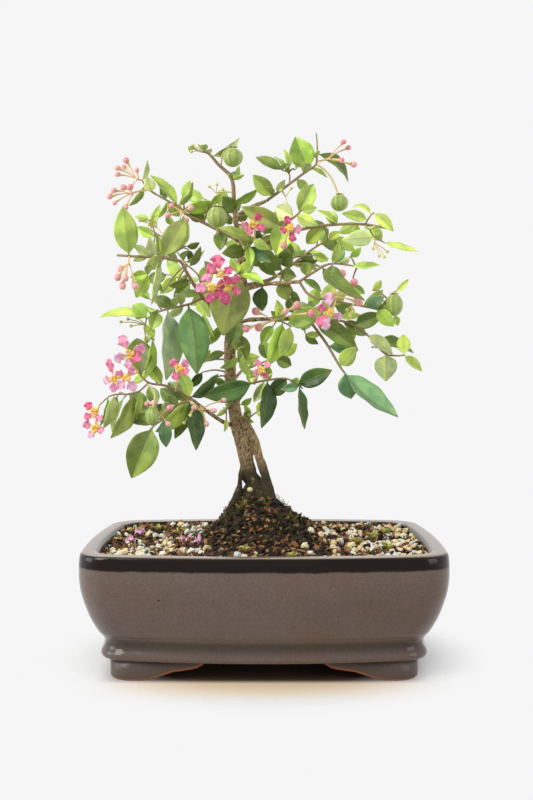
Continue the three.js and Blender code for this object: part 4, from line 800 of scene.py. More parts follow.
def tubes(rule, lines, sides):
    """Round tubes along a mesh's edges, as thick as the attribute says."""
    paths = rule.node("GeometryNodeMeshToCurve", lines).outputs[0]
    circle = rule.node("GeometryNodeCurvePrimitiveCircle", inputs={"Resolution": sides, "Radius": 1.0})
    made = rule.node("GeometryNodeCurveToMesh", paths, circle.outputs[0], rule.read("thick"), True)
    return made.outputs[0]


def evened(rule, place, rounds):
    """A place averaged with its neighbours', which takes the steps out of a volume's skin."""
    blur = rule.node("GeometryNodeBlurAttribute", data_type="FLOAT_VECTOR")
    rule.fill(next(i for i in blur.inputs if i.name == "Value" and i.enabled), place)
    rule.fill(blur.inputs["Iterations"], rounds)
    return next(o for o in blur.outputs if o.enabled)


def wood_rule():
    rule = Rule("wood skin", Sides=20, Voxel=0.42 * MM, Knots=0.35 * MM, Cracks=0.22 * MM, Bark=None)
    solid = tubes(rule, rule["Geometry"], rule["Sides"])
    volume = rule.node("GeometryNodeMeshToVolume", solid, resolution_mode="VOXEL_SIZE", inputs={
        "Voxel Size": rule["Voxel"], "Interior Band Width": 2 * MM})
    skin_mesh = rule.node("GeometryNodeVolumeToMesh", volume, resolution_mode="VOXEL_SIZE", inputs={
        "Voxel Size": rule["Voxel"], "Threshold": 0.1}).outputs[0]
    place = rule.node("GeometryNodeInputPosition").outputs[0]
    even_mesh = rule.moved(skin_mesh, Position=evened(rule, place, 2))
    lumps = rule.noise(place, 5)
    cracks = rule.noise(rule.vector("MULTIPLY", place, (1, 1, 0.3)), 1.3, 3.0)
    rise = rule.plus(rule.times(rule.minus(lumps, 0.5), rule["Knots"]),
                     rule.times(rule.minus(cracks, 0.5), rule["Cracks"]))
    normal = rule.node("GeometryNodeInputNormal").outputs[0]
    rough = rule.moved(even_mesh, Offset=rule.scaled(normal, rule.times(rise, 2.0)))
    return rule.done(rule.coat(rule.shaded(rough), rule["Bark"]))


wood_stems = [(radii, [seen(place) for place in places]) for radii, places in STEMS.values()]
points, edges, thick, _ = stem_paths(wood_stems, WOOD_STEPS)
trunk = piece_from("tree_wood", points, edges, thick=thick)
grow(trunk, wood_rule(), Bark=bark)
print("wood:", len(trunk.data.polygons), "faces")
hand_over(trunk, "bark", "trunk")

# %% Leaf and twig finishes
young_wood = Finish("twig_bark", Roughness=0.7)
twig_colour = young_wood.attribute("tint", "Color")
patches = young_wood.patches(0.4, 0.65, 2.5, 3)
twig_colour = young_wood.blend(patches, twig_colour, (0.36, 0.25, 0.12))
specks = young_wood.patches(0.6, 0.7, 0.7, 2)
twig_colour = young_wood.lay(twig_colour, specks, 0.75, (0.60, 0.48, 0.29))
cracks = young_wood.patches(0.46, 0.38, 1.3, 3, 0.6)
young_wood["Base Color"] = young_wood.lay(twig_colour, cracks, 0.5, (0.13, 0.075, 0.035))
young_wood.bump(young_wood.noise(0.5, 3), 0.25, 0.8)
twig_bark = young_wood.material

VEIN_BEATS, VEIN_SLANT = 52.0, 0.2
foliage = Finish("leaf_skin", Roughness=0.4, Specular_IOR_Level=0.4, Coat_Weight=0.08, Coat_Roughness=0.25)
share_across, along = foliage.uv()
u = foliage.minus(foliage.times(share_across, 2.0), 1.0)
across = foliage.math("ABSOLUTE", u)
light_patch = foliage.patches(0.35, 0.65, 8, 2)
mottle = foliage.blend(light_patch, (0.80, 0.84, 0.82), (1.30, 1.22, 1.08))
leaf_colour = foliage.blend(1.0, foliage.attribute("tint", "Color"), mottle, "MULTIPLY")
leaf_colour = foliage.lay(leaf_colour, foliage.between(along, 0.75, 1.0), 0.25, (0.55, 0.60, 0.14))
# Painted light and shade: the midrib parts a leaf into a lighter and a darker half, as a folded leaf is lit,
# by as much as the leaf's phase says
painted_fold_light_share = foliage.times(foliage.between(u, -0.12, 0.12, -0.5, 0.5),
                           foliage.math("SINE", foliage.attribute("phase")))
leaf_colour = foliage.scaled(leaf_colour, foliage.plus(1.0, foliage.times(painted_fold_light_share, 0.5)))
veins = foliage.minus(along, foliage.times(across, VEIN_SLANT))
veins = foliage.math("SINE", foliage.times(veins, VEIN_BEATS))
vein_line = foliage.times(foliage.between(veins, 0.6, 1.0), foliage.between(across, 1.0, 0.6))
leaf_colour = foliage.lay(leaf_colour, vein_line, 0.14, (0.45, 0.52, 0.20))
midrib = foliage.between(across, 0.075, 0.02)
leaf_colour = foliage.lay(leaf_colour, midrib, 0.5, (0.50, 0.56, 0.24))
foliage["Base Color"] = foliage.lay(leaf_colour, foliage.attribute("under"), 0.45, (0.38, 0.45, 0.20))
quilting = foliage.minus(foliage.times(foliage.noise(1.6, 3), 0.4),
                         foliage.plus(foliage.times(vein_line, 0.35), midrib))
foliage.bump(quilting, 0.2, 0.7)
leaf_skin = foliage.material

# %% [markdown]
# A leaf is a thin blade that follows a rule: it runs from its foot to its tip, is as wide at each place as
# its outline says, bows along its face, folds up a little from the midrib and waves at its edge. One
# Geometry Nodes tree bends a flat grid into all the blades of a shoot. Each leaf is one point that carries
# the blade's own measures as attributes, and the same tree, with another outline, makes petals.

# %% The blade rule
LEAF_OUTLINE = [(0, 0.05), (0.05, 0.06), (0.09, 0.2), (0.2, 0.66), (0.34, 0.94), (0.48, 1), (0.62, 0.93),
                (0.78, 0.66), (0.9, 0.35), (0.97, 0.14), (1, 0.04)]
PETAL_OUTLINE = [(0, 0.1), (0.3, 0.14), (0.42, 0.5), (0.55, 0.88), (0.7, 1), (0.85, 0.92), (0.95, 0.62),
                 (1, 0.3)]
EDGE_BEATS, RUFFLE_HEIGHT, MELD = 17.0, 3.0, 0.005 * MM


def grids_on(rule, roots):
    """A flat grid on every root point. Its points keep their root, u across and t along."""
    grid = rule.node("GeometryNodeMeshGrid", 1.0, 1.0, rule["Across"], rule["Along"]).outputs[0]
    place = rule.node("GeometryNodeInputPosition").outputs[0]
    split = rule.node("ShaderNodeSeparateXYZ", place)
    grid = rule.store(grid, "u", rule.times(split.outputs["X"], 2.0))
    grid = rule.store(grid, "t", rule.plus(split.outputs["Y"], 0.5))
    roots = rule.store(roots, "root", place, "FLOAT_VECTOR")
    grids = rule.node("GeometryNodeInstanceOnPoints", roots, inputs={"Instance": grid}).outputs[0]
    return rule.node("GeometryNodeRealizeInstances", grids).outputs[0]


def curve_of(rule, value, knots):
    """A smooth curve through the knots, read at the value."""
    made = rule.node("ShaderNodeFloatCurve", 1.0, value)
    curve = made.mapping.curves[0]
    curve.points[0].location, curve.points[1].location = knots[0], knots[-1]
    for knot in knots[1:-1]:
        curve.points.new(*knot)
    made.mapping.update()
    return made.outputs[0]


def bent_place(rule, knots):
    """Where each grid point goes: along the blade, lifted off its face, and out to its side."""
    u, t, length = rule.read("u"), rule.read("t"), rule.read("length")
    ripple = rule.noise(rule.node("GeometryNodeInputPosition").outputs[0], 1.2)
    ragged = rule.plus(1.0, rule.times(rule["Fringe"], rule.minus(ripple, 0.5)))
    half = rule.times(rule.times(rule.read("width"), 0.5), rule.times(curve_of(rule, t, knots), ragged))
    bow = rule.times(rule.math("SINE", rule.times(t, math.pi)), length)
    beat = rule.math("SINE", rule.plus(rule.times(t, EDGE_BEATS), rule.read("phase")))
    ruffle = rule.times(rule.times(beat, rule.times(u, u)), rule.times(half, rule["Wave"]))
    fold = rule.times(rule.times(rule.math("ABSOLUTE", u), half), rule["Fold"])
    raised = rule.plus(fold, rule.times(ruffle, RUFFLE_HEIGHT))
    lift = rule.plus(rule.times(rule.read("arch"), bow), raised)
    reach = rule.plus(rule.times(u, half), rule.times(rule.read("sweep"), bow))
    offset = rule.scaled(rule.read("along", "FLOAT_VECTOR"), rule.times(t, length))
    offset = rule.vector("ADD", offset, rule.scaled(rule.read("face", "FLOAT_VECTOR"), lift))
    offset = rule.vector("ADD", offset, rule.scaled(rule.read("side", "FLOAT_VECTOR"), reach))
    return rule.vector("ADD", rule.read("root", "FLOAT_VECTOR"), offset)


def thickened(rule, blades):
    """The blades as closed sheets. The lower faces are marked as `under`."""
    normal = rule.node("GeometryNodeInputNormal").outputs[0]
    lower = rule.moved(blades, Offset=rule.scaled(normal, rule.times(rule["Thickness"], -0.5)))
    upper = rule.node("GeometryNodeExtrudeMesh", lower, inputs={
        "Offset Scale": rule["Thickness"], "Individual": False}).outputs[0]
    lower = rule.node("GeometryNodeFlipFaces", lower).outputs[0]
    sheet = rule.joined(upper, rule.store(lower, "under", 1.0, domain="FACE"))
    return rule.node("GeometryNodeMergeByDistance", sheet, inputs={"Distance": MELD}).outputs[0]


def blade_rule(name, knots, fringe):
    """Turns a mesh's edges into stems and its loose points into blades."""
    rule = Rule(name, Sides=8, Across=9, Along=17, Thickness=0.3 * MM, Fold=0.38, Wave=0.02, Fringe=fringe,
                Stem=None, Blade=None)
    leafy = rule.node("GeometryNodeSeparateGeometry", rule["Geometry"], rule.read("blade"), domain="POINT")
    stems = rule.coat(tubes(rule, leafy.outputs["Inverted"], rule["Sides"]), rule["Stem"])
    blades = rule.moved(grids_on(rule, leafy.outputs["Selection"]), Position=bent_place(rule, knots))
    share_across = rule.between(rule.read("u"), -1.0, 1.0)
    uv = rule.node("ShaderNodeCombineXYZ", share_across, rule.read("t")).outputs[0]
    blades = rule.store(blades, "UVMap", uv, "FLOAT2", "CORNER")
    sheets = rule.coat(thickened(rule, blades), rule["Blade"])
    return rule.done(rule.shaded(rule.joined(stems, sheets)))


leaf_rule = blade_rule("leafy shoot", LEAF_OUTLINE, 0.0)
petal_rule = blade_rule("blossom", PETAL_OUTLINE, 0.5)
EMPTY_MEASURES = {"along": (0, 0, 1), "face": (0, -1, 0), "side": (1, 0, 0), "length": 0, "width": 0,
                  "arch": 0, "sweep": 0, "phase": 0}


def measures(root, tip, width, face, arch, sweep):
    """What one blade's point carries."""
    along = (tip - root).normalized()
    return {"at": root, "along": along, "face": face, "side": along.cross(face),
            "length": (tip - root).length, "width": width, "arch": arch, "sweep": sweep}


def blade_measures(root, tip, width, roll, arch, sweep):
    """The measures of a blade by the frame's own rule: it faces the camera, then turns by its roll."""
    along = (tip - root).normalized()
    view = camera.location - root
    facing = (view - along * view.dot(along)).normalized()
    face = facing * math.cos(roll) + along.cross(facing) * math.sin(roll)
    return measures(root, tip, width, face, arch, sweep)


def blade_facing(root, tip, width, face, arch=0.1):
    """The measures of a blade whose upper face looks a given way."""
    along = (tip - root).normalized()
    return measures(root, tip, width, (face - along * face.dot(along)).normalized(), arch, 0.03)


def growth(name, stems, blades, steps=5):
    """One mesh that holds stems as edges and blades as loose points, ready for a blade rule."""
    points, edges, thick, tints = stem_paths(stems, steps)
    data = {key: [empty] * len(points) + [b.get(key, empty) for b in blades]
            for key, empty in EMPTY_MEASURES.items()}
    data["blade"] = [0] * len(points) + [1] * len(blades)
    data["thick"] = thick + [0] * len(blades)
    data["tint"] = tints + [b["tint"] for b in blades]
    return piece_from(name, points + [b["at"] for b in blades], edges, **data)


print("rules:", leaf_rule.name, "and", petal_rule.name)

# %% [markdown]
# Each shoot is a few twigs and their leaves. A leaf's row says where its foot and tip are as seen, how wide
# it looks, and how much depth it gains. Where another piece was in the way, the frame's leaf was bent clear
# by the first of a short list of bends that fitted. The leaf here takes the bend whose tip lies nearest to
# the frame's solid, so the fine leaf is in the same place.

# %% The leafy shoots, in millimetres
# A shoot is its leaves' tones, one letter each, then its twigs and its leaves. A twig is (radius at
# start, radius at end, places...). A leaf is (foot across, foot up, tip across, tip up, width as seen,
# depth gained, arch as a share of its length, sideways sweep).
SHOOTS = {
    "apex_shoot": ("pmmdm",
        [[1.8, 0.5, [-15, 225, 2], [-15.7, 234, 2], [-17, 245.5, 1], [-24, 253, 0], [-29, 258.5, -1],
        [-34.5, 260, -2], [-38, 262.5, -3]]],
        [[-26.5, 257, -13, 266.5, 3.5, -3, 0.12, -0.06], [-17, 246, -10.5, 247.5, 2.2, 3],
        [-15, 233, -3.5, 240, 4, -6], [-15.5, 228, -21.5, 236.5, 8, -6], [-17, 244, -13, 252, 2.5, 8]]),
    "top_right_shoot": ("bdmgmdmm",
        [[1.15, 0.45, [1, 234, -2], [10, 240.5, -5], [20, 248, -8], [26, 252, -10], [27.2, 256, -10.5],
        [27.3, 263, -11], [26.8, 269, -11]], [0.6, 0.45, [13, 243, -6], [12.8, 248, -4], [9, 250, -3]]],
        [[21.5, 250, 16, 267, 12.5, -2, 0.06], [8.5, 250, -4.3, 256.5, 5, 3],
        [4.8, 237, -6, 247.5, 8, -4, 0.1], [6, 238, 10.5, 245, 4, -5], [24, 250, 32.5, 246, 1.6, 6],
        [27.2, 259, 43.3, 244, 4, 7, 0.12], [12.8, 247, 5, 257, 1.6, 4], [16, 245, 22, 240, 5, 10]]),
    "centre_right_shoot": ("omgmlbd",
        [[1.1, 0.6, [4, 215, -10], [11, 222, -14], [16.5, 226.5, -16], [20, 230, -17]]],
        [[8, 221, -12, 231, 9.5, -6, 0.06], [17, 227.5, 25.3, 242.7, 9, 3, 0.08], [15, 226, 6.3, 231, 8, 6],
        [19, 229.5, 27, 230.5, 5, -4], [17, 226, 28, 221, 6, -5], [11, 220, 6, 206, 11, -7, 0.08],
        [3.5, 215, -4, 227, 9, 5, 0.08]]),
    "right_limb_shoot": ("ymllllpmym",
        [[1.2, 0.85, [10, 216.5, -14], [20, 219.5, -18], [34, 221.6, -22], [50, 222, -25],
        [64.5, 219.8, -27]], [0.6, 0.45, [52, 221.8, -25], [55, 226.5, -26], [57, 228, -26]],
        [0.6, 0.45, [53, 221.6, -25], [57, 215.5, -24], [62.5, 212.3, -23]]],
        [[38, 222, 27, 229, 2, -4], [37, 222, 32.5, 228.5, 5.5, 4], [53, 224.5, 40, 227.5, 5, -4],
        [55.5, 227, 45.5, 231, 2, 3, 0.15], [57, 228, 66.8, 218.3, 5.5, -3, 0.08],
        [62.5, 212.3, 79.3, 208, 2.2, -3, 0, 0.14], [56.5, 215, 40.5, 214, 8, -5, 0.06],
        [47.5, 221.5, 47, 215.5, 4, 5], [61, 213, 55, 220.5, 6, 6], [30, 221, 22, 212, 7, 12]]),
    "right_back_shoot": ("mdmomdmdmd",
        [[1.05, 0.6, [13, 200, 20], [24, 208.5, 28], [38, 217, 34]], [0.6, 0.45, [27, 210.5, 29],
        [28.3, 217, 29]]],
        [[28.5, 212.5, 33, 220, 4, 4], [15, 202, 28, 203.5, 3.7, -4], [23, 207, 33.5, 204, 2, 4],
        [13.5, 200.5, 28, 198, 3.5, -8], [20, 205.5, 11, 212, 7, 8], [30, 212, 44, 211, 7, 10],
        [36, 216, 47, 208, 6, 6], [24, 208.5, 20, 197, 7, 6], [38, 217, 48, 222.5, 6, 8],
        [33, 214, 26, 224, 7, 9]]),
    "right_mid_shoot": ("dptydmd",
        [[1.05, 0.5, [18, 192.3, -13], [26, 197.5, -18], [34, 201.5, -22], [44, 200.8, -21],
        [48, 200, -20]]],
        [[35, 201.4, 52, 182.5, 7, -5, 0.05, 0.3], [38, 201, 44, 204, 4, 6], [36, 201.5, 41, 210, 5, 3],
        [35, 201.5, 38.5, 213, 4, -4], [20, 193.5, 29.5, 187, 3.2, -4],
        [45, 200.6, 59.5, 201, 2.8, -4, 0, 0.12], [22, 195, 21.5, 202, 6, 5]]),
    "right_mid_out_shoot": ("tmmbym",
        [[1, 0.6, [18, 192.3, -13], [24, 185, -18], [38, 182, -22], [54, 179, -24], [60, 177.5, -24]],
        [0.6, 0.5, [59, 177.8, -24], [66, 186, -23], [68.5, 187.5, -23]]],
        [[53, 179.2, 62, 184.5, 6, -4], [50, 179.8, 61.5, 188, 5, 8], [54, 179, 68, 176, 3, 5],
        [58, 178, 67, 169.2, 7, -3], [68.5, 187.3, 74.5, 193.5, 3, 2], [30, 183.6, 37, 191, 5, 11]]),
    "right_inner_shoot": ("oddddm",
        [[0.8, 0.5, [8, 191.5, -8], [9, 196, -3], [8, 201, 1], [6, 205.5, 3]]],
        [[8.5, 192.5, 12, 182.5, 8, -5], [8.5, 198, 0, 206, 8, 4], [8, 201, 15, 207, 8, -4],
        [9, 196.5, 16.5, 195, 7, -5], [6, 205.5, -3, 207.5, 6, 8], [7, 204, 10, 212, 6, 8]]),
    "right_low_shoot": ("mtttm",
        [[1.1, 0.7, [24, 171.5, -8], [32, 160.5, -10], [38.5, 149.5, -12], [42, 144.5, -12]]],
        [[28.5, 165, 21.5, 165, 3.5, 4], [33, 159, 48, 156, 6, 5], [41.5, 145.5, 45, 131.7, 10, 3, 0.05],
        [42, 145, 69.2, 122.2, 8, -6, 0.04, 0.13], [39, 149, 47.5, 158.5, 8, -4]]),
    "right_low_out_shoot": ("dddgdllhmm",
        [[1, 0.55, [24, 171.5, -8], [40, 172, -6], [52, 166, -4], [62, 155.5, -4], [68, 154, -5],
        [73, 154.3, -6]]],
        [[27, 171, 48.5, 156.5, 9, -7, 0.06], [40, 172, 53, 164.5, 6, 8],
        [46, 169.5, 61.5, 175.5, 8, -5, 0.06], [53, 165, 66.5, 154.5, 6, -5, 0.05],
        [57, 161, 77.3, 155.5, 5, 6, 0.05, -0.08], [73, 154.3, 72, 165, 7, 4],
        [73, 154.3, 81.7, 146, 4.5, -2], [62.5, 155.3, 63, 140.8, 11.5, -3, 0.06],
        [36, 172, 30, 182, 6, 12], [48, 168, 41, 160, 6, 13]]),
    "heart_leaf_shoot": ("oblm",
        [[1, 0.6, [-11, 197, 2], [-13.5, 196.5, -8], [-15.5, 195.5, -14]]],
        [[-15, 195.5, -21.5, 164.5, 20, -5, 0.1], [-13, 196.5, 0, 191, 3.8, -8],
        [-13, 196.6, -17.5, 204.5, 5, 4], [-13, 196.6, -5, 203, 6, -3]]),
    "centre_shoot": ("obtdm",
        [[0.9, 0.5, [-12.5, 207, 2.5], [-8, 210.5, -7], [-6, 214, -12]]],
        [[-6.5, 213, -24, 220, 5, -5, 0.1, -0.1], [-8, 210.5, -7, 200, 5, -5], [-9, 209.8, 1, 199, 6, 5],
        [-10, 209, -22, 207, 7.5, -6], [-6, 214, 3, 209, 5, -3]]),
    "trunk_mid_shoot": ("ddmmm",
        [[0.9, 0.5, [-16.5, 175, 2], [-12.8, 173, -5], [-12, 164, -6.5], [-12.5, 156, -6.5],
        [-13.5, 150.5, -6]]],
        [[-13, 173.5, -17.5, 158.3, 8.5, -4, 0.06], [-12, 165, -9.3, 151.5, 5, -2],
        [-13.3, 152, -2.5, 153.5, 5.5, -3], [-13.5, 150.5, -7, 142.5, 4, -2],
        [-13, 153, -23, 147.5, 3.5, -4]]),
    "trunk_sprout": ("llll",
        [[0.75, 0.45, [-11, 118.5, 0], [-7, 122.5, -5.5], [-3, 125.5, -7.5]]],
        [[-3, 125.5, 3.5, 126.5, 3, -1], [-4, 125, -1, 131, 3, 1], [-7, 122.5, -10.5, 128.5, 3, -2],
        [-4.5, 124.5, 2.5, 120.5, 2.5, -2]]),
    "left_sprout": ("ll",
        [[0.75, 0.5, [-17.5, 126, 0], [-19.5, 126.5, -5], [-19.8, 121, -6.5]]],
        [[-19.6, 125.5, -25, 122.5, 2.6, -2], [-19.8, 121, -20.7, 114.5, 2, -1]]),
    "left_limb_shoot": ("dmddogpmopbmm",
        [[1.35, 0.9, [-32, 184, -10], [-37, 191.5, -14], [-41, 198.5, -17], [-44, 203, -19],
        [-53, 204.7, -22], [-66, 205.3, -25], [-76.3, 206, -27]], [0.65, 0.5, [-33, 185.5, -11],
        [-34, 195, -8], [-40.5, 201.5, -7], [-45.5, 208, -6]], [0.55, 0.45, [-55, 204.8, -22.5],
        [-59, 198, -26], [-60.5, 196, -26.5]], [0.6, 0.45, [-60, 205, -24], [-57.5, 211, -20],
        [-56.5, 216, -18]]],
        [[-39, 200, -33, 210.5, 3.5, 3], [-41, 202, -31, 208.5, 2, 6], [-38, 193.5, -49.5, 190, 4, -3],
        [-33, 186, -44, 185.5, 4, 6], [-53, 204.7, -41, 225, 11, 4, 0.06],
        [-58.5, 205, -59.5, 215.5, 5, -5], [-60, 205, -68, 211.5, 4, -3],
        [-70.5, 205.6, -73.3, 231, 11.5, -3, 0.07], [-52.5, 204.5, -62, 198.5, 6, -6],
        [-54, 204.7, -58.5, 180.5, 2, 2, 0, 0.1], [-60, 196.3, -69.5, 194.5, 5, -2],
        [-60, 196.6, -66.5, 184, 7, 4], [-56.5, 216, -66.5, 220.5, 5, 2]]),
    "left_low_shoot": ("blmmdpeam",
        [[1, 0.6, [-32, 184, -10], [-38, 181, -14], [-44, 179.5, -17], [-54, 177, -20], [-61.5, 173, -23]],
        [0.5, 0.45, [-61, 173.3, -23], [-62, 168, -22.5], [-61, 160, -22]]],
        [[-61.5, 173, -68, 180.5, 8, 3], [-61.5, 173, -85.5, 174, 3.2, -3, 0, 0.12],
        [-62, 170, -56.5, 166, 2.5, -2], [-55, 176.7, -58.5, 167.5, 7, -3], [-46, 179.2, -57, 184.5, 6, 5],
        [-42, 180, -50, 174, 4, 6], [-39.5, 180.8, -35, 144.5, 15, -4, 0.06],
        [-50, 178, -51, 141.5, 10, -2, 0.05], [-35, 182.5, -28, 174, 6, -5]]),
    "left_back_shoot": ("mdmdmdmd",
        [[1.05, 0.6, [-26, 185, 18], [-38, 192, 32], [-50, 196, 44]]],
        [[-32, 188.5, -29, 201, 8, 6], [-38, 192, -47, 183, 7, 6], [-42, 193.5, -50, 203, 7, 5],
        [-50, 196, -61, 193, 7, 5], [-46, 194.8, -54, 186, 7, -3], [-34, 189.6, -26, 181, 7, 4],
        [-29, 187, -38, 180, 7, -6], [-49, 195.7, -47, 208, 6, 8]]),
    "top_left_shoot": ("ppmmmmmmbdddm",
        [[1.25, 0.55, [-20, 217, 5], [-30, 222, 8], [-40, 227, 10], [-44, 231, 11], [-50, 234, 12],
        [-60, 240, 13], [-63.5, 245, 13]]],
        [[-63, 244.5, -60.5, 255, 2.2, 3], [-58, 239, -61, 246.5, 6, -3], [-54, 236.5, -54, 244.5, 1.8, 3],
        [-45, 231.5, -59, 247.2, 4, 5], [-61.5, 242, -70, 231.5, 2.6, -5], [-50.5, 234.3, -56, 225, 2, -4],
        [-41, 228, -47, 207, 5.5, -6, 0, -0.08], [-44.5, 231.2, -37, 243.8, 4, 5],
        [-42, 229, -25, 233.8, 6.5, -6], [-40, 227, -30, 225, 6, 5], [-29, 221.5, -18, 231.5, 8, 6],
        [-22, 218, -23, 208.5, 7.5, -4], [-50, 234, -44, 226, 6, 9]]),
    "top_back_shoot": ("dmdmdm",
        [[1.05, 0.6, [-18, 226, 13], [-24, 231, 24], [-31, 235, 34]]],
        [[-20, 227.7, -29, 224, 7, 6], [-24, 231, -20, 239.5, 6, 5], [-27, 232.7, -36, 229, 7, 5],
        [-31, 235, -41, 238, 7, 5], [-21, 228.5, -12, 233, 7, 6], [-29, 233.9, -26, 222, 7, 8]]),
    "back_limb_shoot": ("mdmdmdmd",
        [[1.2, 0.6, [-12, 205, 18], [-6, 213, 34], [4, 219, 48]]],
        [[-10, 207.7, -20, 212, 8, 5], [-8, 210.3, -3, 200, 8, 6], [-6, 213, -15, 221, 8, 6],
        [-2, 215.4, 8, 210, 8, 5], [0, 216.6, -4, 227, 7, 6], [4, 219, 14, 222, 7, 5],
        [3, 218.4, 8, 229, 7, 6], [-11.5, 205.7, -1, 208, 7, 4]]),
    "low_back_shoot": ("dmdmdm",
        [[0.95, 0.6, [-12, 146, 16], [-2, 150, 30], [8, 154, 42]]],
        [[-6, 148.4, -14, 156, 7, 5], [-2, 150, 3, 141.5, 7, 5], [2, 151.6, -1, 162, 7, 6],
        [8, 154, 17, 160, 7, 4], [6, 153.2, 14, 149, 7, 5], [-8, 147.6, -5, 139, 6, 5]]),
    "low_front_shoot": ("evvvtvp",
        [[1, 0.55, [-16, 138, 0], [-8, 139.5, -10], [1.5, 141.3, -14], [12, 142, -16], [20, 136.8, -17]]],
        [[-6, 139.7, -32, 133, 10, -4, 0.05], [16.5, 139, 35, 146.5, 9, -5, 0.05],
        [12, 142, 3, 133.5, 8, 4], [2, 141.3, -1.5, 116.5, 7.5, -3, 0.05], [18, 138, 8.5, 136.5, 4.5, -4],
        [18, 138.3, 20.8, 116, 3.6, 2, 0, 0.08], [0, 141, -5.5, 130, 5, 5]]),
    "low_left_shoot": ("mtdvdmdd",
        [[1.1, 0.6, [-37, 131, -18], [-46, 128, -24], [-53, 121, -28], [-58, 117, -30], [-63, 109.5, -31]]],
        [[-38, 130.7, -56.5, 114.5, 7, -5, 0.05], [-52, 122, -51, 106.5, 6.5, 4],
        [-58, 117, -69, 90.5, 15, -3, 0.06], [-38, 130.6, -35.5, 105, 7.5, -2, 0.04],
        [-40, 130, -46.5, 111, 6, 5], [-37.5, 130.8, -25, 119.5, 5, -4], [-37.5, 130.8, -50, 140, 8, 5],
        [-56, 118.5, -72, 122, 6, 4]]),
    "low_left_up_shoot": ("mvmmdombp",
        [[0.95, 0.6, [-37, 131, -18], [-50, 138, -22], [-60, 140, -25], [-66, 146, -27]],
        [0.65, 0.45, [-60, 140, -25], [-67, 134.5, -28], [-79, 133.5, -32], [-86, 128, -34]]],
        [[-38, 131.5, -44.5, 147, 6, -3], [-38, 131.6, -24, 144.5, 5, 7], [-53, 138.6, -62, 151, 6, 4],
        [-62, 142, -58, 162.3, 4, 4], [-64, 144, -66, 163, 13, 9, 0.05],
        [-67, 134.5, -79.8, 111.3, 7, -3, 0.05], [-65.5, 136, -68.5, 120.5, 2.5, 4],
        [-81, 132, -85.5, 117.5, 2.2, 3], [-78, 133.6, -83.5, 116.5, 5, -3]]),
    "low_left_back_shoot": ("dddddd",
        [[0.9, 0.6, [-38, 128, 4], [-48, 129, 14], [-60, 128, 20]]],
        [[-44, 128.6, -54, 137, 8, 5], [-50, 128.8, -60, 121, 8, 4], [-57, 128.3, -70, 124, 8, 3],
        [-60, 128, -70, 134.5, 8, 5], [-42, 128.5, -51, 120, 7, 6], [-55, 128.4, -60, 138, 7, 6]]),
    "centre_low_shoot": ("bmybd",
        [[0.8, 0.5, [8, 173, -4.5], [9.5, 171.5, -10], [14, 169, -13]]],
        [[9.5, 171.5, 1.3, 148.5, 8.5, -4, 0.05], [14, 169, 8, 153, 7, 3], [9.5, 171.7, 6.5, 183, 5, -3],
        [12, 170.2, 31, 178, 10, -6, 0.06], [10, 171.3, 2.5, 176, 4, 5]]),
    "right_low_back_shoot": ("dmdmdm",
        [[0.95, 0.6, [14, 173, -6], [19, 176, 8], [27, 179, 22], [36, 180, 32]]],
        [[18, 175.4, 12, 184, 7, 6], [23, 177.5, 20, 167, 8, 6], [27, 179, 37, 172, 8, 5],
        [33, 179.7, 42, 187, 7, 5], [36, 180, 47, 177, 7, 4], [25, 178.2, 27, 189, 7, 6]]),
}
BENDS = [[0, 0], [-3, 0], [3, 0], [-6, 0], [6, 0], [-9, 0], [9, 0], [-12, 0], [12, 0], [-5, 9], [5, 9],
         [-5, -9], [5, -9], [-15, 0], [15, 0], [-10, 16], [10, 16], [-10, -16], [10, -16], [-18, 0],
         [18, 0], [-14, 26], [14, 26], [-14, -26], [14, -26]]
TONES = {
    "p": (0.73, 0.864, 0.363), "m": (0.479, 0.656, 0.128), "d": (0.191, 0.278, 0.049),
    "l": (0.604, 0.76, 0.16), "y": (0.616, 0.806, 0.171), "o": (0.353, 0.438, 0.101),
    "t": (0.185, 0.355, 0.16), "g": (0.627, 0.714, 0.32), "b": (0.456, 0.702, 0.107),
    "v": (0.074, 0.15, 0.028), "e": (0.15, 0.31, 0.085), "a": (0.5, 0.68, 0.38), "h": (0.42, 0.52, 0.21),
}
TWIG_START, TWIG_END, TWIG_STEPS, TWIG_SLIMNESS = 2.6, 0.8, 8, 0.72
LEAF_SLIMNESS, ROLL_SHARE, SAME_PLACE = 0.42, 0.9, 0.45
OLD_TWIG_TINT, YOUNG_TWIG_TINT = (0.34, 0.21, 0.12, 1), (0.50, 0.43, 0.17, 1)


def tree_of(places):
    """A search tree that finds the nearest of these places."""
    tree = kdtree.KDTree(len(places))
    for index, place in enumerate(places):
        tree.insert(place, index)
    tree.balance()
    return tree


def nearest_on_twigs(twigs, x, z):
    """The nearest place on the twigs as seen, kept off their two ends, and where along which twig it is."""
    best = None
    for index, twig in enumerate(twigs):
        places = twig[2:]
        for k, (a, b) in enumerate(zip(places, places[1:])):
            a, b = Vector(a), Vector(b)
            flat = Vector((b.x - a.x, b.y - a.y))
            reach = (b - a).length
            low = min(0.5, TWIG_START / reach) if k == 0 else 0
            high = 1 - min(0.3, TWIG_END / reach) if k + 2 == len(places) else 1
            t = min(high, max(low, Vector((x - a.x, z - a.y)).dot(flat) / flat.length_squared))
            place = a.lerp(b, t)
            away = math.hypot(place.x - x, place.y - z)
            if best is None or away < best[0]:
                best = (away, place, index, k, t)
    return best[1:]


def tint_of(tone, foot_x, tip_z):
    """The tone's colour, made lighter or darker from leaf to leaf, and a little lighter to the right as
    painted backlight.
    """
    # The lift towards the right is painted light, as the crown there is lit from behind.
    tone_and_backlight = (1 + 0.16 * math.sin(7.3 * foot_x + 3.1 * tip_z)) * (1 + 0.12 * ramp(foot_x, 12, 40))
    return (*(share * tone_and_backlight for share in TONES[tone]), 1)


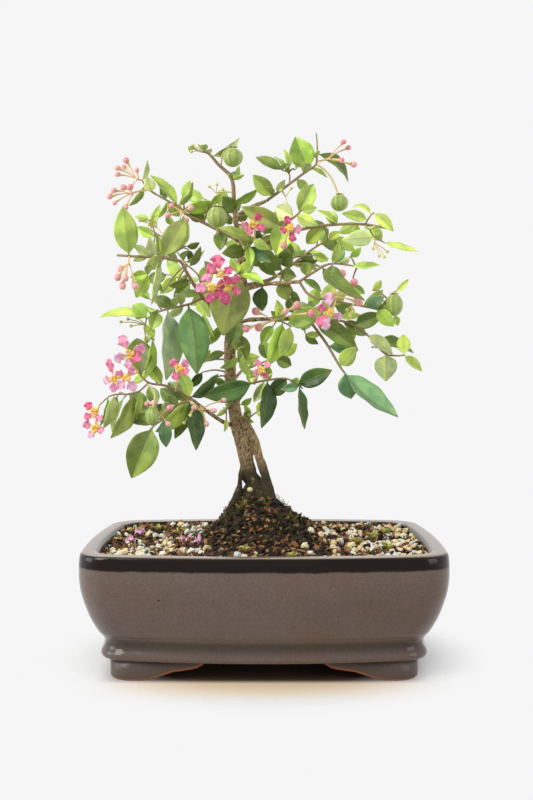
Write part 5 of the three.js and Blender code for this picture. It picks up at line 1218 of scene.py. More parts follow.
def leaf_of(row, tone, twigs, paths, solid_tree):
    """The measures of one leaf, bent as the frame's leaf is."""
    foot_x, foot_z, tip_x, tip_z, seen_width, gained = row[:6]
    arch, sweep = (list(row[6:]) + [0.04, 0][len(row) - 6:])[:2]
    place, twig, k, t = nearest_on_twigs(twigs, foot_x, foot_z)
    dx, dz = tip_x - place.x, tip_z - place.y
    tips = []
    for lean, turn in BENDS:
        c, s = math.cos(math.radians(turn)), math.sin(math.radians(turn))
        tip = seen((place.x + dx * c - dz * s, place.y + dx * s + dz * c, place.z + gained + lean))
        tips.append((round(solid_tree.find(tip)[2] / (SAME_PLACE * MM)), len(tips), tip))
    tip = min(tips)[2]
    root = Vector(paths[twig][TWIG_STEPS * k + round(TWIG_STEPS * t)][:3])
    width = max(seen_width, LEAF_SLIMNESS * math.hypot(tip_x - foot_x, tip_z - foot_z))
    roll = ROLL_SHARE * math.acos(min(1, seen_width / width))
    leaf = blade_measures(root, tip, width * MM, roll if tip.z > root.z else -roll, arch, sweep)
    leaf.update(tint=tint_of(tone, foot_x, tip_z), phase=1.7 * foot_x + tip_z)
    return leaf


leaf_count = 0
twig_places = [place for _, places in wood_stems for place in eased([tuple(p) for p in places], WOOD_STEPS)]
limb_places = len(twig_places)
for name, (tones, twigs, leaf_rows) in SHOOTS.items():
    solid_tree = tree_of([vertex.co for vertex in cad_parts[name].data.vertices])
    stems, paths = [], []
    for twig in twigs:
        places = [seen(place) for place in twig[2:]]
        radii = np.linspace(twig[0], twig[1], len(places)) * TWIG_SLIMNESS
        stems.append((radii, places, OLD_TWIG_TINT, YOUNG_TWIG_TINT))
        paths.append(eased([(*p, r) for p, r in zip(places, radii)], TWIG_STEPS))
    leaves = [leaf_of(row, tone, twigs, paths, solid_tree) for row, tone in zip(leaf_rows, tones)]
    piece = growth(name + "_fine", stems, leaves, TWIG_STEPS)
    hand_over(grow(piece, leaf_rule, Stem=twig_bark, Blade=leaf_skin), "leaf", name)
    leaf_count += len(leaves)
    twig_places += [place for path in paths for place in path[:, :3]]
print("shoots:", len(SHOOTS), "leaves:", leaf_count)

# %% [markdown]
# Inside the crown sit small leaves on side twigs as thin as thread. Each is given by where its foot and tip
# are seen. Its side twig starts at the nearest place on the twigs that are already there. More leaves stand
# out of the twigs to the back and the front, so that the crown is full from the sides too.

# %% The small inner leaves, in millimetres
# A leaf is (foot across, foot up, tip across, tip up, width, depth, roll in degrees, tone).
INNER_LEAVES = [
    (-1, 190, -1, 177, 8.5, 5, 20, "v"), (-4, 202, 6, 195.5, 5.5, 5, -25, "d"),
    (-32, 176, -25.5, 163, 5, -2, 30, "m"), (-22, 170, -29, 159.5, 5, 3, -20, "m"),
    (-20, 156, -30.5, 151, 4.5, 4, 15, "d"), (5, 170, -1.5, 159.5, 6, -8, 20, "b"),
    (-40.5, 210.5, -33.5, 212.5, 4, 4, 35, "d"), (-39.5, 209, -38, 202, 4, 6, -30, "v"),
    (-55, 201, -56, 218, 4, 2, 25, "m"), (-59, 219, -54, 232, 4.5, 0, -25, "m"),
    (-59, 223.5, -67, 226, 3.5, -2, 20, "y"), (-59, 183, -67.5, 188, 4.5, -5, 30, "b"),
    (-52.5, 187, -58, 195.5, 4.5, 2, -35, "d"), (14.5, 188, 18.5, 181, 4.5, 4, 25, "d"),
    (39, 173.5, 50, 175, 4.5, -6, -30, "m"), (56, 188, 60.5, 193, 4, -16, 20, "l"),
    (67.5, 175, 69, 169.5, 4, -18, -20, "l"), (-12.5, 128.5, -6.5, 132, 3.5, 2, 20, "b"),
    (-12.5, 123, -5.5, 119.5, 4, -1, 30, "m"), (-32, 145.5, -38.5, 137.5, 5, 5, -20, "v"),
    (-25.5, 142.5, -20, 139.5, 4.5, -4, 30, "d"), (-59, 145.5, -68, 139, 5, -6, 25, "m"),
    (-76, 133.5, -83, 121.5, 4.5, -16, -35, "d"), (-73, 132, -79, 114.5, 5, -10, 40, "o"),
    (-42, 234.5, -38.5, 244.5, 5, -4, -25, "m"), (-14.5, 223.5, -8.5, 228.5, 4.5, 8, 20, "d"),
    (-20, 225, -17, 222, 4.5, 7, -30, "d"), (-5, 219, -1, 215, 4, 8, 25, "v"),
    (13, 250.5, 10, 260.5, 3.5, -2, 30, "y"), (16, 250, 20, 256.5, 3, -3, -25, "l"),
    (-51, 226.5, -46.5, 222, 4, 4, 25, "m"), (-24, 196, -31, 203, 5, 6, -30, "d"),
    (3, 203, -4, 209, 5, 9, 20, "v"), (-46, 190, -40, 196.5, 4.5, 5, 35, "o"),
    (25, 206, 33, 203, 5, 3, -25, "m"), (30, 199.5, 37, 194, 5, 6, 30, "d"),
    (-35, 150, -28, 157, 4.5, 7, 20, "m"), (-48, 152, -43, 160, 5, 3, -25, "d"),
    (-57, 162, -63, 169, 4.5, 1, 30, "m"), (21, 166, 28, 160, 4.5, -2, 25, "d"),
    (45, 190, 52, 186, 4.5, -9, -30, "m"), (44, 205, 50, 210, 4, -10, 20, "b"),
    (-60, 205, -68, 203, 4, -5, 25, "o"), (-44, 128, -38, 133, 4.5, -8, -25, "m"),
    (-28, 233, -22, 238, 4.5, 2, 30, "m"), (33, 214, 39, 218, 4.5, -12, -20, "l"),
    (-8, 182, -13, 176, 4.5, 7, 25, "d"), (10, 212, 15, 206, 5, 4, -25, "d"),
]
THREAD_RADII, DEPTH_LEAVES, BACK_SHARE, DEPTH_TONES = [0.5, 0.42, 0.36], 70, 0.6, "mdobml"
twig_tree = tree_of(twig_places)


def side_twig(end, share, rise):
    """A thread's three places: the nearest one on the twigs, one on the way but raised, and the end."""
    carrier = twig_tree.find(end)[0]
    return [carrier, carrier.lerp(end, share) + Vector((0, 0, rise * MM)), end]


stems, leaves = [], []
for foot_x, foot_z, tip_x, tip_z, width, depth, turn, tone in INNER_LEAVES:
    foot, tip = seen((foot_x, foot_z, depth)), seen((tip_x, tip_z, depth + 0.25 * width))
    stems.append((THREAD_RADII, side_twig(foot, 0.55, 1.2), OLD_TWIG_TINT, YOUNG_TWIG_TINT))
    leaf = blade_measures(foot, tip, width * MM, math.radians(turn), 0.07, 0.03)
    leaf.update(tint=(*TONES[tone], 1), phase=tip_x)
    leaves.append(leaf)
depth_draw = random.Random(23)
for k in range(DEPTH_LEAVES):
    foot = Vector(twig_places[depth_draw.randrange(limb_places, len(twig_places))])
    backward = 1 if depth_draw.random() < BACK_SHARE else -1
    out = Vector((depth_draw.uniform(-0.45, 0.45), backward, depth_draw.uniform(-0.1, 0.8))).normalized()
    length = depth_draw.uniform(7, 12) * MM
    up = Vector((depth_draw.uniform(-0.5, 0.5), -0.2, 1))
    leaf = blade_facing(foot, foot + out * length, 0.48 * length, up, 0.08)
    leaf.update(tint=(*TONES[DEPTH_TONES[k % len(DEPTH_TONES)]], 1), phase=float(k))
    leaves.append(leaf)
piece = growth("inner_leaves", stems, leaves)
hand_over(grow(piece, leaf_rule, Stem=twig_bark, Blade=leaf_skin, Across=7, Along=13), "leaf")
print("inner leaves:", len(leaves))

# %% [markdown]
# The flowers stand in small umbels on salmon-coloured stalks. A flower has five petals, each a crinkled
# round plate on a narrow claw, round a ring of yellow stamens. The unopened buds are round, on long thin
# stalks. Petals come from the blade rule with a petal's outline, and stamens and buds from its stems,
# because both are only short tubes that swell.

# %% Petal and stalk finishes
petal = Finish("crinkled_petal", Roughness=0.6)
mottle = petal.patches(0.45, 0.75, 1.4, 3)
petal_colour = petal.lay(petal.attribute("tint", "Color"), mottle, 0.4, (1.0, 0.55, 0.74))
claw_share = petal.between(petal.uv()[1], 0.45, 0.1)
petal["Base Color"] = petal.blend(claw_share, petal_colour, (0.88, 0.62, 0.70))
petal.bump(petal.noise(0.5, 3), 0.15, 0.7)
petal_skin = petal.material

stalk = Finish("stalk_and_bud_skin", Roughness=0.5)
blush = stalk.patches(0.45, 0.7, 1.2, 3)
stalk["Base Color"] = stalk.blend(blush, stalk.attribute("tint", "Color"), (0.96, 0.66, 0.50))
stalk_skin = stalk.material

# %% The blossoms and buds, in millimetres
# A stalk is (radius, places...). A flower is its heart and its petals (across, up, radius) as seen.
BLOOMS = {
    "main_blossom": {
        "stalks": [[0.6, [-11.5, 192, 1], [-14, 193, -13], [-16.5, 193, -22]], [0.5, [-15.5, 193, -18],
        [-22, 196, -27]], [0.5, [-16.5, 193, -22], [-24, 190, -28], [-27.5, 190, -29]]],
        "flowers": [[[-22.5, 196, -28], [[-24, 203.5, 3], [-28, 199, 2.6], [-17.5, 198.5, 1.8],
        [-18.5, 193, 2]]], [[-27.5, 189.5, -30], [[-30, 194.5, 2.4], [-33.5, 188.5, 2.3], [-28.5, 182.8, 2],
        [-23, 186, 2.5]]], [[-18.5, 189, -24], [[-14.5, 194, 2], [-14, 188, 2.2], [-20.5, 182.5, 2.4],
        [-22.5, 190.5, 2.3]]]]},
    "left_blossom": {
        "pale": 1,
        "stalks": [[0.5, [-65.5, 145.5, -27], [-69, 150, -31], [-70, 154.5, -34]],
        [0.5, [-65.5, 145.5, -27], [-71.5, 143, -34]], [0.45, [-68.5, 144.2, -30], [-77.5, 142, -34]]],
        "flowers": [[[-70, 155, -35], [[-73.5, 162.5, 2.4], [-64, 158, 2.4], [-65.5, 152, 2.2],
        [-70, 149, 2], [-76, 153, 2.2]]], [[-71.5, 142.5, -35], [[-68.5, 137.5, 2.2], [-74.5, 138, 2],
        [-76, 145, 1.8], [-69, 147, 1.6]]], [[-77.5, 142, -35], [[-80.5, 151, 1.5], [-82, 141, 1.8],
        [-78.5, 136.5, 1.8]]]]},
    "far_left_blossom": {
        "pale": 1,
        "stalks": [[0.5, [-85.5, 128.2, -34], [-88, 124.5, -36]], [0.45, [-86, 127.5, -34.5],
        [-87, 122, -34], [-88, 117, -35]]],
        "flowers": [[[-88, 124.5, -37], [[-91.5, 128.5, 1.8], [-92, 122, 1.6], [-85.5, 121, 1.6]]],
        [[-88, 116.5, -35.5], [[-92.5, 118.5, 1.8], [-90, 112.5, 1.5], [-84.5, 115, 1.5]]]]},
    "side_blossom": {
        "stalks": [[0.5, [-46, 135.8, -21], [-45, 141, -27], [-44, 146, -29], [-44, 147, -30]]],
        "flowers": [[[-44, 147, -30], [[-47, 150.5, 2], [-41, 150.5, 1.8], [-40.5, 145.5, 1.8],
        [-46, 143, 1.8]]]]},
    "right_blossom": {
        "pale": 1,
        "stalks": [[0.5, [37, 182.2, -22], [36, 179.5, -27], [34.3, 177, -29], [34, 176.5, -30]]],
        "flowers": [[[34, 176.5, -30], [[33.5, 185, 2.2], [28.5, 171, 2], [31.5, 168.8, 1.8],
        [39, 174.5, 1.8], [29, 179, 1.8]]]]},
    "upper_blossom": {
        "stalks": [[0.5, [13, 217.4, -15.2], [14.5, 218, -22], [13.5, 219, -25], [13, 220, -26]]],
        "flowers": [[[13, 220, -26], [[17.5, 219, 1.8], [9.5, 218.5, 1.8], [12, 225, 1.8],
        [15, 214.5, 1.6]]]],
        "buds": [[10, 211, -24]]},
    "centre_blossom": {
        "stalks": [[0.5, [-5, 214, -12], [-5, 219, -17], [-5.5, 222, -19], [-6, 222.5, -20]]],
        "flowers": [[[-6, 222.5, -20], [[-10.5, 221.5, 1.8], [-3, 226.5, 1.7], [-1, 219.5, 1.8],
        [-7.5, 218, 1.6]]]]},
    "low_blossom": {
        "stalks": [[0.5, [-6, 140, -11.5], [-3.5, 143.5, -17], [-2, 146, -18], [-1.5, 147, -19]]],
        "flowers": [[[-1.5, 147, -19], [[2, 149.5, 1.5], [-4, 150.5, 1.5], [-5, 145, 1.5],
        [1, 143.5, 1.4]]]]},
    "top_left_buds": {
        "bud": 1.55,
        "stalks": [[0.5, [-63.3, 244.6, 13], [-66.5, 245.3, 10]]],
        "buds": [[-71.5, 255, 9], [-72.5, 251.5, 14], [-76, 251, 7], [-76, 247.8, 12], [-69.5, 241, 5],
        [-66, 250, 6]]},
    "far_left_buds": {
        "bud": 1.55,
        "stalks": [[0.5, [-59.5, 239.7, 13], [-65, 239, 8], [-69.5, 237.5, 4]]],
        "buds": [[-78, 239.5, 3], [-80, 236.5, 7], [-77.5, 233, 0], [-73, 241, 0], [-72, 230.5, 2]]},
    "upper_left_buds": {
        "bud": 1.55,
        "stalks": [[0.5, [-40.5, 227.5, 10], [-41.5, 228, 3], [-43, 228.5, -1]]],
        "buds": [[-50, 226.5, -3], [-48, 231.5, 0], [-40.5, 224, -4], [-44.5, 221.5, -1],
        [-38, 230.5, -3]]},
    "top_right_buds": {
        "bud": 1.55,
        "stalks": [[0.5, [26.7, 254, -10.2], [34, 256, -13]]],
        "buds": [[41, 264.5, -14], [43.5, 261.5, -11], [40, 255, -17], [46.3, 252.8, -13]]},
    "right_buds": {
        "stalks": [[0.5, [34, 182.8, -21], [36.5, 186.5, -26]]],
        "buds": [[40, 196.5, -25], [42.3, 188, -30], [46.5, 192, -26], [47.5, 185, -29], [49, 181.5, -32]]},
    "far_left_lower_buds": {
        "stalks": [[0.5, [-70, 205.7, -25.7], [-70.5, 201, -30]]],
        "buds": [[-74.5, 199, -29], [-76, 194.5, -32], [-72, 194, -34], [-73.5, 190, -30],
        [-67, 190, -32]]},
    "centre_low_buds": {
        "stalks": [[0.5, [4, 173, -3.3], [4, 172.3, -11], [5, 172, -15]]],
        "buds": [[-4.5, 177, -15], [-9.5, 168, -18], [-3, 168.5, -14], [17, 180, -17], [24.5, 176, -22],
        [11, 177, -20]]},
    "lower_left_buds": {
        "bud": 1.4,
        "stalks": [[0.5, [-52.5, 121.5, -27.7], [-55, 124, -33]]],
        "buds": [[-57.3, 129.5, -34], [-50, 118.5, -35], [-61, 129, -32], [-49, 127, -36]]},
    "near_left_buds": {
        "bud": 1.4,
        "stalks": [[0.5, [-33.5, 128.3, -15], [-32, 125, -22]]],
        "buds": [[-36.5, 127, -26], [-30, 118.5, -24], [-26, 125.5, -24], [-21, 131, -22]]},
}
STALK_TINT, STAMEN_TINT = (0.90, 0.58, 0.24, 1), (1.0, 0.68, 0.06, 1)
BUD_TINTS = [(0.97, 0.30, 0.38, 1), (1.0, 0.50, 0.53, 1), (0.95, 0.40, 0.40, 1)]
PETAL_TINTS = [(0.80, 0.11, 0.26, 1), (0.92, 0.20, 0.35, 1), (1.0, 0.38, 0.56, 1), (1.0, 0.54, 0.72, 1)]
GREEN_TINT, CALYX_TINT, PISTIL_TINT = (0.42, 0.50, 0.12, 1), (0.60, 0.54, 0.16, 1), (0.75, 0.62, 0.12, 1)
BUD_RADIUS, BUD_STALK, STAMENS, STAMEN_HEAD, STAMEN_STALK = 1.95, 0.32, 14, 0.82, 0.16
BLOOM_STEPS = 4
# A ball is a stem along its own axis: (place from pole to pole, thickness), as shares of its radius
BALL = [(-1, 0.26), (-0.9, 0.5), (-0.6, 0.83), (-0.2, 1), (0.25, 0.98), (0.65, 0.76), (0.9, 0.42), (1, 0.1)]


def ball_on_stalk(foot, centre, stalk_radius, radius, stalk_tint, tint, foot_tint=None):
    """A thin stalk, then the ball, as two stems that meet. With a foot tint, the stalk ends in a cup of that
    tint, as a bud's does in its calyx."""
    out = (centre - foot).normalized()
    ball = [centre + out * (height * radius * MM) for height, _ in BALL]
    bend = foot.lerp(centre, 0.5) + Vector((0, 0, 0.04 * (centre - foot).length))
    stem = ([stalk_radius] * 3, [foot, bend, ball[0] + out * 0.1 * MM], stalk_tint)
    if foot_tint:
        radii = [stalk_radius] * 2 + [0.5 * radius, 0.9 * radius]
        stem = (radii, [foot, bend, ball[0], ball[2]], stalk_tint, foot_tint)
    return [stem, ([thickness * radius for _, thickness in BALL], ball, tint)]


def petals_of(heart, depth, petals, pale, draw):
    """One flower's blades. A petal stands one to three millimetres nearer than the heart."""
    blades = []
    for k, (x, z, radius) in enumerate(petals):
        out = seen((x, z, depth - 1 - (k % 3))) - heart
        tip = heart + out * (1 + radius * MM * 0.85 / out.length)
        blade = blade_measures(heart, tip, 2.2 * radius * MM, 0.35 if k % 2 else -0.35, 0.1, 0.02)
        blade.update(tint=PETAL_TINTS[draw.randrange(3) + pale], phase=draw.uniform(0, 6))
        blades.append(blade)
    return blades


def stamens_of(heart, draw):
    """One flower's ring of stamens, and the pistil in its middle."""
    front = (camera.location - heart).normalized()
    right = front.cross(Vector((0, 0, 1))).normalized()
    over = right.cross(front)
    stems = []
    for k in range(STAMENS):
        turn = math.tau * k / STAMENS + draw.uniform(-0.2, 0.2)
        aside = right * math.cos(turn) + over * math.sin(turn)
        end = heart + (front * draw.uniform(2.2, 3.2) + aside * draw.uniform(0.3, 2.0)) * MM
        stems += ball_on_stalk(heart, end, STAMEN_STALK, STAMEN_HEAD, STAMEN_TINT, STAMEN_TINT)
    low, high = heart - front * 0.8 * MM, heart + front * 0.5 * MM
    return stems + ball_on_stalk(low, high, 0.4, 0.95, GREEN_TINT, PISTIL_TINT)


def buds_of(fork, places, radius, draw):
    """Buds on stalks of their own, which leave the fork one after the other."""
    stems = []
    for k, place in enumerate(places):
        foot = seen(fork[1]).lerp(seen(fork[0]), 0.12 + 0.45 * k / len(places))
        size = radius * draw.uniform(0.85, 1.15)
        tint = BUD_TINTS[draw.randrange(3)]
        stems += ball_on_stalk(foot, seen(place), BUD_STALK, size, STALK_TINT, tint, CALYX_TINT)
    return stems


draw = random.Random(7)
for name, bloom in BLOOMS.items():
    stems = [([row[0]] * (len(row) - 1), [seen(place) for place in row[1:]], STALK_TINT)
             for row in bloom["stalks"]]
    blades = []
    for centre, petals in bloom.get("flowers", []):
        blades += petals_of(seen(centre), centre[2], petals, bloom.get("pale", 0), draw)
        stems += stamens_of(seen(centre), draw)
    stems += buds_of(bloom["stalks"][0][-2:], bloom.get("buds", []), bloom.get("bud", BUD_RADIUS), draw)
    piece = growth(name + "_fine", stems, blades, BLOOM_STEPS)
    grow(piece, petal_rule, Stem=stalk_skin, Blade=petal_skin, Fold=0.1, Wave=0.25, Across=9, Along=13)
    hand_over(piece, "petal" if blades else "bud", name)
print("blossoms and buds:", len(BLOOMS))

# %% [markdown]
# Between the leaves stand thin yellow-green sprigs, each with a few buds that have only begun to swell. A
# sprig is a thread from the nearest twig to its foot, and a ball on a stalk for each tip.

# %% Budding sprigs: a foot [across, up, depth] and its tips (across, up), in millimetres
SPRIGS = [
    ([56.9, 212.5, -24], [(56.4, 209.3), (59.5, 205.7), (62.1, 205.2), (63.6, 207.8)]),
    ([-61.4, 169.9, -18], [(-66, 173.6), (-70.7, 173), (-74.3, 171.5), (-69.1, 169.4)]),
    ([45.5, 179.8, -26], [(42.9, 177.7), (44.5, 174.6), (46, 176.7)]),
    ([-11, 211.4, -5], [(-14.2, 215), (-11.6, 215.6), (-8.5, 214), (-7.9, 210.9), (-13.6, 211.9)]),
    ([-55.7, 220.2, 0], [(-64.5, 223.9), (-60, 221.5), (-58.8, 224.9), (-55.7, 226.5)]),
    ([-32, 259.5, -2], [(-37, 262.8), (-37.8, 259.4)]),
    ([-35.4, 128.4, -24], [(-41.7, 119.1), (-38.5, 123)]),
    ([11, 236, -6], [(14, 240.5), (8.5, 239.5), (12, 231.5)]),
    ([-25, 238, 2], [(-28.5, 241.5), (-24.5, 242.5), (-21.5, 240)]),
]
SPRIG_TINT, SPRIG_HEAD_TINT = (0.78, 0.70, 0.24, 1), (0.80, 0.78, 0.18, 1)
SPRIG_RADII, SPRIG_STALK, SPRIG_HEAD = [0.4, 0.34, 0.3], 0.26, 0.85
stems = []
for foot, tips in SPRIGS:
    fork = seen(foot)
    stems.append((SPRIG_RADII, side_twig(fork, 0.5, 0.6), SPRIG_TINT))
    for k, (x, z) in enumerate(tips):
        tip = seen((x, z, foot[2] - 1 - k % 3))
        stems += ball_on_stalk(fork, tip, SPRIG_STALK, SPRIG_HEAD, SPRIG_TINT, SPRIG_HEAD_TINT)
piece = growth("budding_sprigs", stems, [], BLOOM_STEPS)
hand_over(grow(piece, petal_rule, Stem=stalk_skin, Blade=petal_skin), "bud")
print("sprigs:", len(SPRIGS))

# %% [markdown]
# The unripe fruit is a small green ball with shallow ribs, and the sepals stay round its stalk. A sphere
# whose points move in and out with the angle is the whole rule. The ribs are also a paler green.

# %% Fruit finish
green = Finish("unripe_fruit_skin", Roughness=0.38, Coat_Weight=0.2)
flesh = green.blend(green.noise(3, 3), (0.24, 0.38, 0.06), (0.44, 0.54, 0.13))
rib_line = green.between(green.attribute("rib"), 0.35, 1.0)
green["Base Color"] = green.lay(flesh, rib_line, 0.5, (0.62, 0.68, 0.28))
green.bump(green.noise(0.7, 3), 0.1, 0.4)
fruit_skin = green.material

# %% The fruit, in millimetres
# A body is (across, up, depth, radius, height as a share of the width).
FRUITS = {
    "top_fruit": {
        "body": [-16.3, 256.5, -3, 5.2, 0.95],
        "stalk": [[-22.5, 251.5, 0], [-21.5, 258, -2], [-19, 261.5, -3]]},
    "left_fruit": {
        "body": [-24.5, 225.5, -10, 5.4, 1],
        "stalk": [[-24, 219, 6], [-24.5, 217, -3], [-24.5, 219.5, -9]]},
    "top_right_fruit": {
        "body": [38.8, 233, -14, 4.5, 0.95],
        "stalk": [[26.6, 253.2, -10.2], [31, 250, -11], [34.5, 246, -12], [37, 240.5, -13],
            [38.2, 237.5, -14]]},
    "right_fruit": {
        "body": [67.2, 180.3, -25, 4.4, 1.25],
        "stalk": [[66.5, 186.3, -23], [67.3, 187, -24.5], [67.2, 185.5, -25]]},
    "low_fruit": {
        "body": [-58.3, 122.5, -36, 3.4, 1.3],
        "stalk": [[-61, 139.3, -25.5], [-57, 135, -32], [-57.5, 128, -36]]},
}


FRUIT_SEGMENTS, FRUIT_RINGS, SEPALS, FRUIT_STALK = 60, 28, 5, 0.5
FRUIT_STALK_TINT, SEPAL_TINT = (0.66, 0.58, 0.24, 1), (0.80, 0.66, 0.30, 1)


def fruit_rule():
    rule = Rule("ribbed fruit", Centre=(0, 0, 0), Radius=5 * MM, Tall=1.0, Ribs=9.0, Depth=0.035, Skin=None)
    ball = rule.node("GeometryNodeMeshUVSphere", inputs={
        "Segments": FRUIT_SEGMENTS, "Rings": FRUIT_RINGS, "Radius": rule["Radius"]}).outputs[0]
    place = rule.node("GeometryNodeInputPosition").outputs[0]
    split = rule.node("ShaderNodeSeparateXYZ", place)
    turn = rule.math("ARCTAN2", split.outputs["Y"], split.outputs["X"])
    rib = rule.math("COSINE", rule.times(turn, rule["Ribs"]))
    shrink = rule.minus(1.0, rule.times(rule["Depth"], rule.minus(1.0, rib)))
    scale = rule.node("ShaderNodeCombineXYZ", shrink, shrink, rule["Tall"]).outputs[0]
    ribbed = rule.moved(ball, Position=rule.vector("MULTIPLY", place, scale))
    ribbed = rule.coat(rule.shaded(rule.store(ribbed, "rib", rib)), rule["Skin"])
    placed = rule.node("GeometryNodeTransform", ribbed, inputs={"Translation": rule["Centre"]}).outputs[0]
    return rule.done(rule.joined(rule["Geometry"], placed))


def way_round(turn, rise):
    """A direction at a turn round the upright, rising a little."""
    return Vector((math.cos(turn), math.sin(turn), rise))


ribbed_fruit = fruit_rule()
for name, fruit in FRUITS.items():
    x, z, depth, radius, tall = fruit["body"]
    centre = seen((x, z, depth))
    crown = centre + Vector((0, 0, radius * tall * 0.95 * MM))
    places = [seen(place) for place in fruit["stalk"]] + [crown]
    sepals = []
    for k in range(SEPALS):
        end = crown + way_round(math.tau * k / SEPALS, 0.1) * radius * 0.52 * MM
        sepal = blade_facing(crown, end, 0.3 * radius * MM, Vector((0, 0, 1)))
        sepal["tint"] = SEPAL_TINT
        sepals.append(sepal)
    piece = growth(name + "_fine", [([FRUIT_STALK] * len(places), places, FRUIT_STALK_TINT)], sepals)
    grow(piece, leaf_rule, Stem=stalk_skin, Blade=leaf_skin, Across=5, Along=9)
    grow(piece, ribbed_fruit, Centre=centre, Radius=radius * MM, Tall=float(tall), Skin=fruit_skin)
    hand_over(piece, "fruit", name)
print("fruit:", len(FRUITS))

# %% [markdown]
# Fallen petals, withered flowers, a few green beads of plant food and one white grain on the trunk are what
# makes the soil look lived in. They are the same rules again, laid flat or made small.

# %% What has fallen on the soil, in millimetres from the pot's middle
def on_soil(x, y, lift):
    return spot(x, y, soil_height(x, y) + lift)


FALLEN_PETALS = [(-37.2, -16.7, 7.2, 20), (-39.5, -13, 5.5, 95), (-67.4, 2.5, 5, 150), (-70.5, 22, 5.5, 60),
                 (-64, 26, 4, 200)]
WITHERED = [(-71.4, 28.8), (-58.2, 33.4), (-45.1, 28.8), (47.7, -4), (58, 14.7), (66, 26.9), (62, -16),
            (-9, -38), (14, -46)]
BEADS = [(-37.1, 9.3), (-34.9, 20.3), (-31, 14), (-27, 22), (22, 6)]
FALLEN_TINT, WITHERED_HEART_TINT = (0.80, 0.40, 0.62, 1), (0.36, 0.36, 0.08, 1)
WITHERED_TINTS = [(0.42, 0.44, 0.08, 1), (0.52, 0.50, 0.12, 1), (0.30, 0.17, 0.06, 1)]
WITHERED_BLADES, BEAD_RADIUS, GRAIN_RADIUS, GRAIN_PLACE = 9, 1.3, 1.4, (-7.5, 84.5, -8.5)
litter_draw = random.Random(11)
blades = []
for x, y, size, turn in FALLEN_PETALS:
    foot = on_soil(x, y, 2.2)
    tip = foot + way_round(math.radians(turn), 0.12) * size * MM
    fallen = blade_facing(foot, tip, 0.95 * size * MM, Vector((0, -0.7, 1)))
    fallen.update(tint=FALLEN_TINT, phase=turn)
    blades.append(fallen)
piece = growth("fallen_petals", [], blades)
grow(piece, petal_rule, Stem=stalk_skin, Blade=petal_skin, Fold=0.1, Wave=0.3, Across=9, Along=13)
hand_over(piece, "petal")

blades, stems = [], []
for x, y in WITHERED:
    heart = on_soil(x, y, 2)
    for k in range(WITHERED_BLADES):
        turn = math.tau * k / WITHERED_BLADES + litter_draw.uniform(-0.4, 0.4)
        out = way_round(turn, litter_draw.uniform(0.2, 1.1)).normalized()
        tip = heart + out * litter_draw.uniform(2.6, 4.6) * MM
        width = litter_draw.uniform(1.4, 2.4) * MM
        withered = blade_measures(heart, tip, width, litter_draw.uniform(-0.8, 0.8), 0.15, 0.05)
        withered.update(tint=WITHERED_TINTS[k % len(WITHERED_TINTS)], phase=turn)
        blades.append(withered)
    stems += ball_on_stalk(heart - Vector((0, 0, 2 * MM)), heart, 0.3, 0.9, GREEN_TINT, WITHERED_HEART_TINT)
piece = growth("withered_flowers", stems, blades)
hand_over(grow(piece, leaf_rule, Stem=stalk_skin, Blade=leaf_skin, Across=5, Along=7, Wave=0.1), "leaf")

bead_skin = toned("green_plant_food", (0.015, 0.22, 0.11), (0.03, 0.30, 0.16), roughness=0.35, grain=1.0,
                  depth=0.05)
piece = piece_from("plant_food_beads", [])
for x, y in BEADS:
    grow(piece, ribbed_fruit, Centre=on_soil(x, y, 1.8), Radius=BEAD_RADIUS * MM, Tall=0.95, Depth=0.01,
         Skin=bead_skin)
hand_over(piece, "soil")
piece = piece_from("white_grain", [])
grow(piece, ribbed_fruit, Centre=seen(GRAIN_PLACE), Radius=GRAIN_RADIUS * MM, Tall=0.9, Depth=0.03,
     Skin=pumice)
hand_over(piece, "soil")
print("litter:", len(FALLEN_PETALS), "petals,", len(WITHERED), "withered flowers,", len(BEADS), "beads")

# %% [markdown]
# The tree stands on a plain pale floor in soft, bright studio light: one broad light from the upper left, a
# second, weaker one from the right, one from behind, a window at the left that shines on the rim, and a
# pale room all round that fills the shadows. The floor has a painted shadow under the pot and painted warm
# reflected light just in front of it, and it fades out into the backdrop, so no horizon shows.

# %% Floor, lights and room
FLOOR_HALF = 30
corners = [(-1, -1), (1, -1), (1, 1), (-1, 1)]
floor = piece_from("floor", [(x * FLOOR_HALF, y * FLOOR_HALF, 0) for x, y in corners], (), [(0, 1, 2, 3)])
paper = Finish("warm_white_paper", Roughness=0.9, Specular_IOR_Level=0.2)
from_pot = paper.vector("LENGTH", paper.vector("MULTIPLY", paper.place, (0.88, 1, 0)))
spread = paper.node("ShaderNodeSeparateXYZ", paper.place)
aside, forward = paper.math("ABSOLUTE", spread.outputs["X"]), spread.outputs["Y"]
# The warm patch in front of the pot is painted reflected light from the pot.
ahead = paper.times(paper.between(forward, -0.040, -0.056), paper.between(forward, -0.088, -0.066))
painted_glow_share = paper.times(ahead, paper.between(aside, 0.088, 0.060))
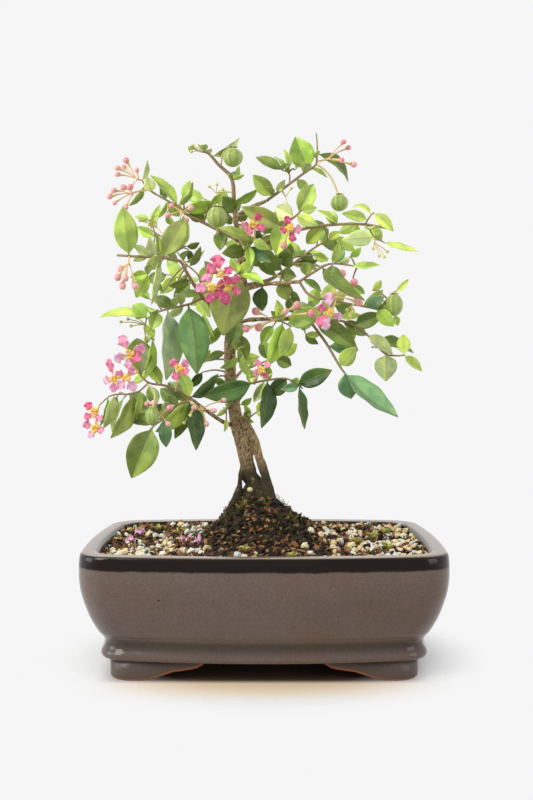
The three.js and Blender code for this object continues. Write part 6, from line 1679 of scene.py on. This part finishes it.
# The dark patch under the pot is a painted shadow.
painted_shadow_share = paper.times(paper.between(aside, 0.082, 0.068),
                         paper.between(paper.math("ABSOLUTE", forward), 0.056, 0.049))
white = paper.blend(paper.noise(900, 1), (0.80, 0.80, 0.795), (0.82, 0.82, 0.815))
with_painted_glow = paper.blend(painted_glow_share, white, (0.92, 0.74, 0.52))
paper["Base Color"] = paper.blend(painted_shadow_share, with_painted_glow, (0.13, 0.08, 0.055))
paper["Alpha"] = paper.between(from_pot, 0.104, 0.058)
floor.data.materials.append(paper.material)
floor.location.z = POT_FOOT.z


LIGHTS_AIM = spot(0, 0, 130)


def soft_light(name, place, size, power, colour=(1, 1, 1)):
    """A square light that faces the middle of the tree."""
    data = bpy.data.lights.new(name, "AREA")
    data.shape, data.size, data.energy, data.color = "SQUARE", size, power, colour
    light = bpy.data.objects.new(name, data)
    light.location = place
    light.rotation_euler = (LIGHTS_AIM - light.location).to_track_quat("-Z", "Y").to_euler()
    bpy.context.scene.collection.objects.link(light)


soft_light("key", spot(-760, -640, 800), 0.6, 8.5, (1, 0.985, 0.94))
soft_light("fill", spot(900, -600, 400), 0.6, 2.4, (0.97, 0.98, 1))
soft_light("back", spot(-100, 900, 900), 0.8, 3)
soft_light("window", spot(-1000, -140, 330), 0.45, 2.2, (0.84, 0.92, 1))


def pale_room(strength_behind, strength_in_front, backdrop):
    """A room that is brighter behind the tree than in front of it. The lens sees a plain backdrop."""
    world = bpy.data.worlds.new("pale_room")
    world.use_nodes = True
    room = Nodes(world.node_tree)
    plain = room.tree.nodes["Background"]
    plain.inputs["Color"].default_value = (*backdrop, 1)
    way = room.node("ShaderNodeTexCoord").outputs["Generated"]
    backward = room.node("ShaderNodeSeparateXYZ", way).outputs["Y"]
    strength = room.between(backward, -0.9, 0.3, strength_in_front, strength_behind)
    lit = room.node("ShaderNodeBackground", inputs={"Color": (0.97, 0.985, 1, 1), "Strength": strength})
    seen_by_lens = room.node("ShaderNodeLightPath").outputs["Is Camera Ray"]
    by_ray = room.node("ShaderNodeMixShader", seen_by_lens, lit.outputs[0], plain.outputs[0])
    room.fill(room.tree.nodes["World Output"].inputs["Surface"], by_ray.outputs[0])
    return world


bpy.context.scene.world = pale_room(0.88, 0.42, (0.92, 0.92, 0.92))
bpy.context.scene.view_settings.view_transform = "Standard"
print("lights ready")
